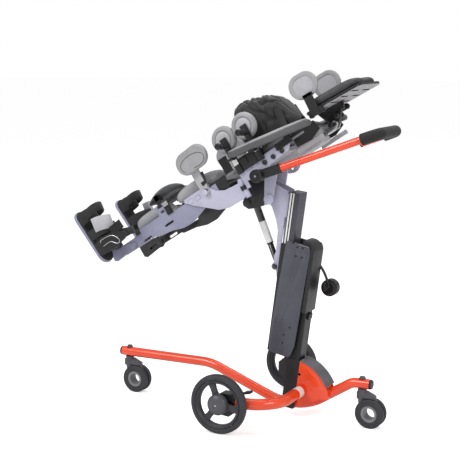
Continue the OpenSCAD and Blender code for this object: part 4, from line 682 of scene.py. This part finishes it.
# Actuator
soften("tilt_rod", "lift", ENAMEL, 0.5, 1)
soften("tilt_actuator", "actuator", ENAMEL, 1.2)
turned("actuator_label", [(12.55, 82), (12.75, 82.2), (12.75, 157.8), (12.55, 158)], 48, None, RAM,
       "actuator", LABEL)

# Board
soften("tilt_cheeks", "board", [LILAC, ABS], 1.0, split=(AXLE, 46))
soften("board_frame", "board", ABS_PALE, 2.0)
soften("side_plates", "board", LILAC, 0.9)
soften("trunk_panel", "board", ABS_GRAY, 2.0)
soften("board_bolts", "board", ABS, 0.8, 1)
soften("arm_posts", "board", ABS, 1.2)

cushion("trunk_pad", frame_at(BOARD, (118, 0, 120.3)), "board", FOAM_DARK, (296, 180, 42), (0.35, 0.03, 0.12),
        "trunk_cushion", cap=4, voxel=6)
for side in SIDES:
    cut_plate(side + "_arm_rail", round_points(-155, -14.7, 155, 5, 8), -14.5, 14.5, ARM, "board", FOAM_DARK,
              side, 3.5, steps=3, sharp=50)
    cushion(side + "_arm_cushion", frame_at(ARM, (0, 0, 3.5)), "board", FOAM, (316, 32, 11.5),
            (0.4, 0.01, 0.1), "arm_pads", side, cap=1.5, voxel=4)

for side in SIDES:
    # Hardware between the arm pad and the side plate: clamps, ratchets and plain labels
    ribbed(side + "_strap_ratchet", (-52, -133, 134), (-20, -138, 190), 6, BOARD, "board", ABS, side)
    bar(side + "_clamp_block", (14, -137.2, 111), (75, -130, 156), BOARD, "board", ABS, side, 3)
    bar(side + "_clamp_top", (20, -141, 128), (44, -136.5, 150), BOARD, "board", ABS, side, 3)
    ribbed(side + "_rear_ratchet", (150, -129, 106), (214, -136, 128), 9, BOARD, "board", ABS, side)
    hinge = frame_at(BOARD, (-22, -122, 0))
    bar(side + "_hinge_sleeve", (-10, -13, 57.5), (10, 10, 75.5), hinge, "board", ABS, side, 4)
    for i, (u0, u1, w0, w1) in enumerate(((-9, 10, 141, 173), (80, 98, 144, 165))):
        bar("%s_post_label_%d" % (side, i), (u0, -138.1, w0), (u1, -137.4, w1), BOARD, "board", LABEL, side,
            0)
    # Skirt and rail beside the panel's head end
    cut_plate(side + "_panel_skirt", [(203, 132), (258, 138), (298, 130), (304, 96), (262, 80), (206, 84)],
              -98, -102.5, BOARD, "board", ABS, side)
    bar(side + "_skirt_rail", (196, -103.4, 64), (304, -97, 79), BOARD, "board", ABS_PALE, side, 2)

# Vest: quilted shell arched over the trunk cushion
VEST_START, VEST_LEN, VEST_HALF, VEST_RISE, VEST_FOOT, QUILT = 24, 208, 80, 172, 162.6, 26
VEST_U = [VEST_START, 55.2, 92.6, 130.1, 165.4, 200.8, VEST_START + VEST_LEN]
VEST_HIGH = [0.9, 1, 0.985, 0.92, 0.82, 0.66, 0.38]
VEST_WIDE = [0.94, 0.99, 1, 0.99, 0.96, 0.92, 0.86]


def along(values, u):
    """Value at u between the vest's stations."""
    for (a, va), (b, vb) in zip(zip(VEST_U, values), list(zip(VEST_U, values))[1:]):
        if u <= b:
            return va + (vb - va) * (u - a) / (b - a)
    return values[-1]


vest = bmesh.new()
bmesh.ops.create_grid(vest, x_segments=56, y_segments=64, size=1)
for v in vest.verts:
    u = VEST_START + VEST_LEN * (v.co.x + 1) / 2
    a = pi * (v.co.y + 1) / 2
    half, rise = VEST_HALF * along(VEST_WIDE, u), VEST_RISE * along(VEST_HIGH, u)
    quilt = abs(sin(pi * (u - VEST_START) / QUILT)) ** 0.5
    crumple = noise.noise(Vector((u / 24, a * 3.2, 0.7))) + 0.5 * noise.noise(Vector((u / 9, a * 7, 3.1)))
    fold = abs(noise.noise(Vector((u / 34 + a, a * 2.1, 5.3))))
    out = -3.0 + 3.0 * quilt + 4.5 * crumple - 9.0 * max(0.16 - fold, 0) / 0.16
    # Both ends are gathered, the head end the more
    drawn_in = 1 - 0.72 * max((u - 196) / 36, 0) ** 2 - 0.2 * max((46 - u) / 22, 0) ** 2
    half, rise, out = half * drawn_in, rise * drawn_in, out * drawn_in
    c, s = cos(a), max(sin(a), 0)
    v.co = (u, -(half + out) * (1 if c > 0 else -1) * abs(c) ** 0.8, VEST_FOOT + (rise + out) * s ** 0.8)
bmesh.ops.recalc_face_normals(vest, faces=vest.faces[:])
bmesh.ops.solidify(vest, geom=vest.faces[:], thickness=7)
put("vest_shell", vest, BOARD, "board", CLOTH, stands_for="harness", refine=1, padded=0.7, weld=False)
for side in SIDES:
    for u in (73, 193):
        path = arc([(u, -91.7, 122), (u, -91.9, 150), (u, -86, 164.5), (u, -75, 200), (u, -66, 240)])
        swept("%s_vest_strap_%d" % (side, u), path, strap_section(26, 2.2), (0, -1, 0.2), BOARD, "board",
              WEBBING, side)
        bar("%s_vest_buckle_%d" % (side, u), (u - 17, -96.5, 128), (u + 17, -93.4, 150), BOARD, "board", ABS,
            side, 1.2)

# Round trunk supports on rods
PAD_W, ROD_W = 239, 217
for side in SIDES:
    body = side + "_trunk_supports"
    for i, u in enumerate((0, 88), 1):
        at = across_y(u - 3, -103, PAD_W)
        turned("%s_round_pad_%d" % (side, i), [(0, 0.6), (24, 0.2), (38, 2), (44.5, 7), (46.5, 13),
                                               (45.8, 19), (42, 24.6), (37, 27), (31.5, 27.2), (29.5, 24.5),
                                               (29, 22), (0, 22)], 72, at, BOARD, body, FOAM, side,
               stands_for=side + "_laterals" if i == 1 else (), refine=1, padded=1.0)
        turned("%s_pad_plate_%d" % (side, i), [(0, 27.4), (20, 27.1), (26.4, 26), (28, 24), (28, 21)], 64, at,
               BOARD, body, ABS_PALE, side, sharp=50)
        turned("%s_support_rod_%d" % (side, i), [(0, 0), (6, 0), (6, 76), (0, 76)], 32,
               across_y(u, -117, ROD_W), BOARD, body, CHROME, side)
        turned("%s_rod_knob_%d" % (side, i), [(0, 0), (9.5, 0.5), (11, 2.5), (11, 11), (9.5, 13.5), (5.5, 14),
                                              (4.5, 12.5), (0, 12.5)], 24, across_y(u, -182.4, ROD_W), BOARD,
               body, ABS, side, bevel=0.6)
        bar("%s_pad_clamp_%d" % (side, i), (u - 13, -137.6, 205), (u + 13, -132.4, 242), BOARD, body, ABS,
            side, 2.5, steps=3)

# Hip supports: a pad with a line drawn on it, and an arm that swings on an eye
HIP_U, HIP_W, HIP_FACE = -150, 124, -128.4
for side in SIDES:
    body = side + "_hip_support"
    tilt = frame_at(BOARD, (-194, 0, 196), -3)
    cut_plate(side + "_hip_pad_foam", round_points(1.5, 1.5, 128.5, 80.5, 38, 9), -134.5, -155.5, tilt, body,
              FOAM, side, 8, stands_for=side + "_hip_pad", steps=4, sharp=60, padded=1.0)
    hook = [(-170, 214), (-178, 226), (-174, 243), (-150, 254), (-118, 255), (-92, 247), (-80, 232),
            (-88, 215), (-108, 209), (-132, 211)]
    swept(side + "_hip_pad_line", arc([(x, -155.6, z) for x, z in hook]), circle_section(1.1, 8), (0, 1, 0),
          BOARD, body, FOAM_DARK, side)
    cut_plate(side + "_hip_arm", [(-163, HIP_W), (-137, HIP_W), (-133, 158), (-133, 237), (-167, 237),
                                  (-167, 158)], -134.4, HIP_FACE, BOARD, body, ABS_PALE, side, 2, steps=3)
    cut_plate(side + "_hip_bracket", [(-150, 160), (-134, 160), (-134, 190), (-122, 190), (-122, 178),
                                      (-128, 150), (-148, 146)], -134.8, -136.6, BOARD, body, ABS, side, 0.6)
    turned(side + "_hip_eye", [(5.1, 0), (13, 0), (13, 6), (5.1, 6)], 40, across_y(HIP_U, HIP_FACE, HIP_W),
           BOARD, body, ABS_PALE, side, closed=True, bevel=0.8)

# Head support: the shell's flat underside is paler
soften("head_post", "head_slider", ZINC, 0.8)
shell = soften("head_shell", "head_rest", [ABS, ABS_PALE], 2.5, 3)
downward = HEAD.to_3x3() @ Vector((0, 0, -1))
for face in shell.data.polygons:
    inside = (HEAD.inverted() @ (face.center / MM)).z
    if face.normal.dot(downward) > 0.9 and inside > 50:
        face.material_index = 1
for name, x, z, r, body in (("tilt", 52, 36, 9, "head_rest"), ("rib", 20, 20, 10, "head_rest"),
                            ("slide", -12, 2, 9, "head_slider")):
    for side in SIDES:
        turned("%s_head_knob_%s" % (side, name), [(0, 0), (r - 1.5, 0.3), (r, 2), (r, 9), (r - 2, 11),
                                                  (4, 11.5), (3.4, 10), (0, 10)], 14, across_y(x, -16, z),
               HEAD, body, ABS, side, bevel=0.6)
cushion("head_pad", frame_at(HEAD, (60, 0, 65)), "head_rest", FOAM_CHARCOAL, (214, 210, 30),
        (0.4, 0.02, 0.1, 6), "head_cushion", cap=4, voxel=6)
for side in SIDES:
    body = side + "_wing"
    rim = bmesh.new()
    outer = round_points(-57.5, 104.5, 45.5, 187.5, 40, 9)
    inner = round_points(-41, 118, 29, 172, 26, 9)
    front = [rim.verts.new((x, -92.4, z)) for x, z in outer + inner]
    count = len(outer)
    faces = [rim.faces.new((front[i], front[j], front[count + j], front[count + i]))
             for i, j in ((i, (i + 1) % count) for i in range(count))]
    grown = bmesh.ops.extrude_face_region(rim, geom=faces)
    bmesh.ops.translate(rim, vec=(0, -11.2, 0), verts=fresh_verts(grown))
    put(side + "_wing_rim", rim, HEAD, body, FOAM, side, side + "_head_wing", bevel=4.5, steps=3, sharp=50,
        padded=1.0)
    cut_plate(side + "_wing_mesh", round_points(-43, 116, 31, 174, 26, 8), -95, -101, HEAD, body, ABS_PALE,
              side, 1.5)
    arm = bmesh.new()
    brick(arm, (-19.5, -114, 46), (13.5, -110.2, 115))
    brick(arm, (-19.5, -114, 104.4), (13.5, -101, 115.6))
    lathe(arm, [(3.2, 0.5), (7, 0.5), (7, 33.5), (3.2, 33.5)], 32,
          Matrix.Translation((-20, -107, 46)) @ Matrix.Rotation(radians(90), 4, "Y"), closed=True)
    put(side + "_wing_arm", arm, HEAD, body, ABS, side, bevel=0.8, weld=False)

# Push handle: the tube's first stretch is a black socket
SOCKET_END = 87.9
soften("handle_hub", "board", ABS, 2.0, 3)
soften("handle_cap", "handle", ABS, 1.2)
paint("handle_tube", RED)
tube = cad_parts["handle_tube"].data
tube.materials.append(ABS)
for face in tube.polygons:
    if (HANDLE.inverted() @ (face.center / MM)).x < SOCKET_END:
        face.material_index = 1
knob_at = across_y(HANDLE_U, -166.6, HANDLE_W)
turned("handle_knob_face", [(0, 0.8), (5, 0.8), (5.5, 2.4), (9, 2.6), (9.5, 0.8), (15, 0.8), (16, 2.6),
                            (20.5, 2.2), (21.5, 0.6), (21.5, 0)], 48, knob_at, BOARD, "board", ABS)
turned("handle_knob_screw", [(0, 3.2), (3.6, 3.0), (4.6, 1.6), (4.6, 0.5)], 6, knob_at, BOARD, "board", ZINC)
paint("handle_grip", FOAM_BLACK)

# Legs

def sole_layer(corners, r, x, thick):
    """Layer of a sole: a rounded slab that is thick along X."""
    bm = bmesh.new()
    bottom = [bm.verts.new((x, y, z)) for y, z in round_points(*corners, r, 10)]
    grown = bmesh.ops.extrude_face_region(bm, geom=[bm.faces.new(bottom)])
    bmesh.ops.translate(bm, vec=(thick, 0, 0), verts=fresh_verts(grown))
    return bm


# The foot hanger's outline in shares of its length and height, and the share of the height at its pivot
HANGER_SHARES = [(0, 0.1), (0.1, 0), (0.7, 0.06), (0.84, 0.02), (0.97, 0.1), (1, 0.25), (0.96, 0.4),
                 (0.84, 0.46), (0.5, 0.6), (0.24, 1), (0, 1)]
HANGER_LEN, HANGER_H, HANGER_PIVOT = 110, 62, 0.24
THIGH_FACE = -127.7
FOOT_U, FOOT_Y, FOOT_W, SOLE_W = -606, -169.9, 110, 104
CUP_FROM, CUP_H, SOLE_TOP = 26, 44, 16.5
for side in SIDES:
    leg = leg_frame(side)
    # The near leg's plates are lilac; the far leg's same plates take a near black that is painted shade
    thigh_lilac_and_shade, bar_lilac_and_shade = (LILAC, LILAC_DEEP) if side == "near" else (FAR_PLATE_SHADE, FAR_PLATE_SHADE)
    soften(side + "_thigh_plate", side + "_thigh", thigh_lilac_and_shade, 0.9)
    soften(side + "_leg_arm", side + "_leg", bar_lilac_and_shade, 0.9)
    cushion(side + "_thigh_cushion", frame_at(BOARD, (-192, -64, 145.3)), side + "_thigh", FOAM,
            (196, 88, 45), (0.35, 0.02, 0.1, 4), side + "_thigh_pad", side)
    cushion(side + "_calf_cushion", frame_at(leg, (-404, -64, 147.3)), side + "_leg", FOAM, (150, 88, 42),
            (0.35, 0.02, 0.1, 4), side + "_calf_pad", side)
    # Knee pad
    body = side + "_knee"
    cushion(side + "_knee_cushion", frame_at(leg, (-328, -64, 199)), body, NEOPRENE, (146, 88, 37),
            (0.45, 0.03, 0.5), side + "_knee_pad", side, cap=3)
    swing = bmesh.new()
    brick(swing, (-350, -118, 180), (-332, -113.4, 216))
    brick(swing, (-350, -118, 194.4), (-332, -92, 216))
    lathe(swing, [(3.2, 0), (6, 0), (6, 19), (3.2, 19)], 32,
          Matrix.Translation((-350.5, -118.3, 176)) @ Matrix.Rotation(radians(90), 4, "Y"), closed=True)
    put(side + "_knee_arm", swing, leg, body, ABS, side, bevel=0.8, weld=False)
    # Strap with its buckle beside the knee, and the square marks on the thigh plate
    bar(side + "_knee_strap", (-327, -126.4, 132), (-301, -122.8, 184), leg, side + "_leg", WEBBING, side)
    bar(side + "_knee_buckle", (-325, -128.6, 163), (-304, -126, 179), leg, side + "_leg", ZINC, side)
    bar(side + "_knee_latch", (-323, -129.4, 138), (-306, -126, 158), leg, side + "_leg", ABS, side)
    # A black webbing sheet, near side only, fills the gap by the thigh plate that lies in shade: painted
    # shade
    if side == "near":
        bar("near_thigh_painted_shade", (-134, -121.4, 98), (-66, -117, 141), BOARD, "near_thigh", WEBBING, side, 2)
    marks = bmesh.new()
    for u, w in ((-222, 127), (-192, 125), (-153, 125)):
        frame_line = [(x, THIGH_FACE, z) for x, z in round_points(u - 11, w - 8, u + 11, w + 8, 2, 3)]
        sweep(marks, frame_line + [frame_line[0]], circle_section(0.5, 6), up=(0, 1, 0))
    put(side + "_plate_marks", marks, BOARD, side + "_thigh", ABS_GRAY, side, weld=False)
    # Sandal
    body = side + "_foot"
    high = 0 if side == "near" else FAR_RAISE
    foot = frame_at(leg, (FOOT_U, FOOT_Y, SOLE_W + high), -5)
    sole = sole_layer((-36.6, 0.4, 36.6, 207.6), 32, 0.4, 11)
    put(side + "_sole_shell", sole, foot, body, LILAC_DEEP, side, side + "_sandal", bevel=2.5, steps=3,
        sharp=50)
    bed = sole_layer((-34, 3, 34, 205), 31, 11.4, 6.4)
    put(side + "_foot_bed", bed, foot, body, FOAM_BLACK, side, bevel=1.6, steps=3, sharp=50, padded=1.0)
    # Heel cup: a closed back and a wall round the heel, open to the toes
    cup = bmesh.new()
    ring = [cup.verts.new((x, y, CUP_FROM)) for x, y in round_points(-8, -37, 73, 37, 22, 8) if x > SOLE_TOP]
    cup.faces.new(ring)
    edges = [e for e in cup.edges if min(v.co.x for v in e.verts) > SOLE_TOP + 0.1
             or abs(e.verts[0].co.y - e.verts[1].co.y) < 40]
    grown = bmesh.ops.extrude_edge_only(cup, edges=edges)
    bmesh.ops.translate(cup, vec=(0, 0, CUP_H), verts=fresh_verts(grown))
    bmesh.ops.solidify(cup, geom=cup.faces[:], thickness=5)
    put(side + "_heel_cup", cup, foot, body, ABS, side, bevel=1.5)
    plate = [(FOOT_U + a * HANGER_LEN, FOOT_W + (HANGER_H + high) * (b - HANGER_PIVOT))
             for a, b in HANGER_SHARES]
    # On the far side the hanger takes the near black of painted shade
    cut_plate(side + "_foot_hanger", plate, -123, -127.8, leg, body, bar_lilac_and_shade, side, 1.2)
    # Straps that arch over the foot, each with its thickness and width, and the pad on the instep strap
    for what, points, section, up, finish in (
            ("toe_band", [(17, -35, 171), (34, -35.4, 171), (52, -30, 171), (61, -14, 171), (62.5, 0, 171),
                          (61, 14, 171), (52, 30, 171), (34, 35.4, 171), (17, 35, 171)], (4, 44), (0, 0, 1),
             WEBBING),
            ("instep_strap", [(17, -36, 104), (58, -37, 100), (92, -27, 92), (101, 0, 90), (92, 27, 92),
                              (58, 37, 100), (17, 36, 104)], (3.2, 34), (0.25, 0, 1), WEBBING),
            ("instep_pad", [(58, -41, 124), (76, -39, 120), (94, -32, 114), (105, -16, 108), (107, 0, 106)],
             (5, 50), (0.2, 0, 1), ABS_PALE),
            ("toe_pad", [(48, -37, 172), (74, -36, 174), (92, -24, 176), (98, 0, 177), (92, 24, 176),
                         (74, 36, 174), (48, 37, 172)], (3, 30), (0.2, 0, 1), WEBBING),
            ("ankle_strap", [(96, -35, 56), (128, -35, 46), (148, -24, 38), (153, 0, 35), (148, 24, 38),
                             (128, 35, 46), (70, 38, 54), (20, 38.6, 54)], (3, 26), (0.2, 0, 1), WEBBING)):
        swept("%s_%s" % (side, what), arc(points, 5), edge_section(*section), up, foot, body, finish, side)
    # The heel's side block with a ratchet, and a bent wire
    cut_plate(side + "_heel_block", [(14, 24), (18, 70), (60, 76), (110, 62), (150, 44), (156, 26), (140, 18),
                                     (78, 14)], -36.8, -41.5, foot, body, ABS, side, 1.5)
    ribbed(side + "_heel_ratchet", (106, -38, 52), (158, -42.5, 84), 7, foot, body, ABS, side)
    bends = [(46, 60), (55, 66), (99, 57), (118, 30), (111, 20), (100, 24), (86, 40), (66, 44), (50, 44)]
    swept(side + "_heel_wire", arc([(x, -43.4, z) for x, z in bends], 6), circle_section(1.4, 8), (0, 1, 0),
          foot, body, ZINC, side)

# Floor, backdrop and soft studio light
floor = bmesh.new()
bmesh.ops.create_grid(floor, x_segments=1, y_segments=1, size=40)
mesh = bpy.data.meshes.new("floor")
floor.to_mesh(mesh)
floor.free()
ground = link("floor", mesh)
pale = bpy.data.materials.new("pale_floor")
pale.use_nodes = True
pale_tree = pale.node_tree
pale_tree.nodes.clear()
seen = add(pale_tree, "LightPath")
lift = add(pale_tree, "Math", {"operation": "MULTIPLY", 1: 0.5}, {0: seen.outputs["Is Camera Ray"]})
matt = add(pale_tree, "BsdfDiffuse", {"Color": linear("F2F2F2")})
glow = add(pale_tree, "Emission", {"Color": (1, 1, 1, 1)}, {"Strength": lift.outputs[0]})
both = add(pale_tree, "AddShader", {}, {0: matt.outputs[0], 1: glow.outputs[0]})
add(pale_tree, "OutputMaterial", {}, {"Surface": both.outputs[0]})
mesh.materials.append(pale)
ground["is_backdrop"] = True

world = scene.world or bpy.data.worlds.new("studio")
scene.world = world
world.use_nodes = True
world_tree = world.node_tree
world_tree.nodes.clear()
path = add(world_tree, "LightPath")
room = add(world_tree, "Background", {"Color": (1, 1, 1, 1), "Strength": 0.55})
backdrop = add(world_tree, "Background", {"Color": (1, 1, 1, 1), "Strength": 1.0})
blend = add(world_tree, "MixShader", {},
            {0: path.outputs["Is Camera Ray"], 1: room.outputs[0], 2: backdrop.outputs[0]})
add(world_tree, "OutputWorld", {}, {"Surface": blend.outputs[0]})


def lamp(name, at, aim, size, power):
    """A square lamp that faces a point."""
    data = bpy.data.lights.new(name, "AREA")
    data.shape, data.size, data.energy = "SQUARE", size, power
    made = link(name, data)
    made.location = at
    made.rotation_euler = (Vector(aim) - Vector(at)).to_track_quat("-Z", "Y").to_euler()


lamp("key", (-1.6, -2.6, 3.2), (0, 0, 0.6), 1.8, 85)
lamp("side", (3.0, -1.6, 2.0), (0, 0, 0.6), 1.6, 38)
lamp("top", (0.2, 0.6, 3.6), (0, 0, 0.5), 2.2, 45)

bpy.context.view_layer.update()
low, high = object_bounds()
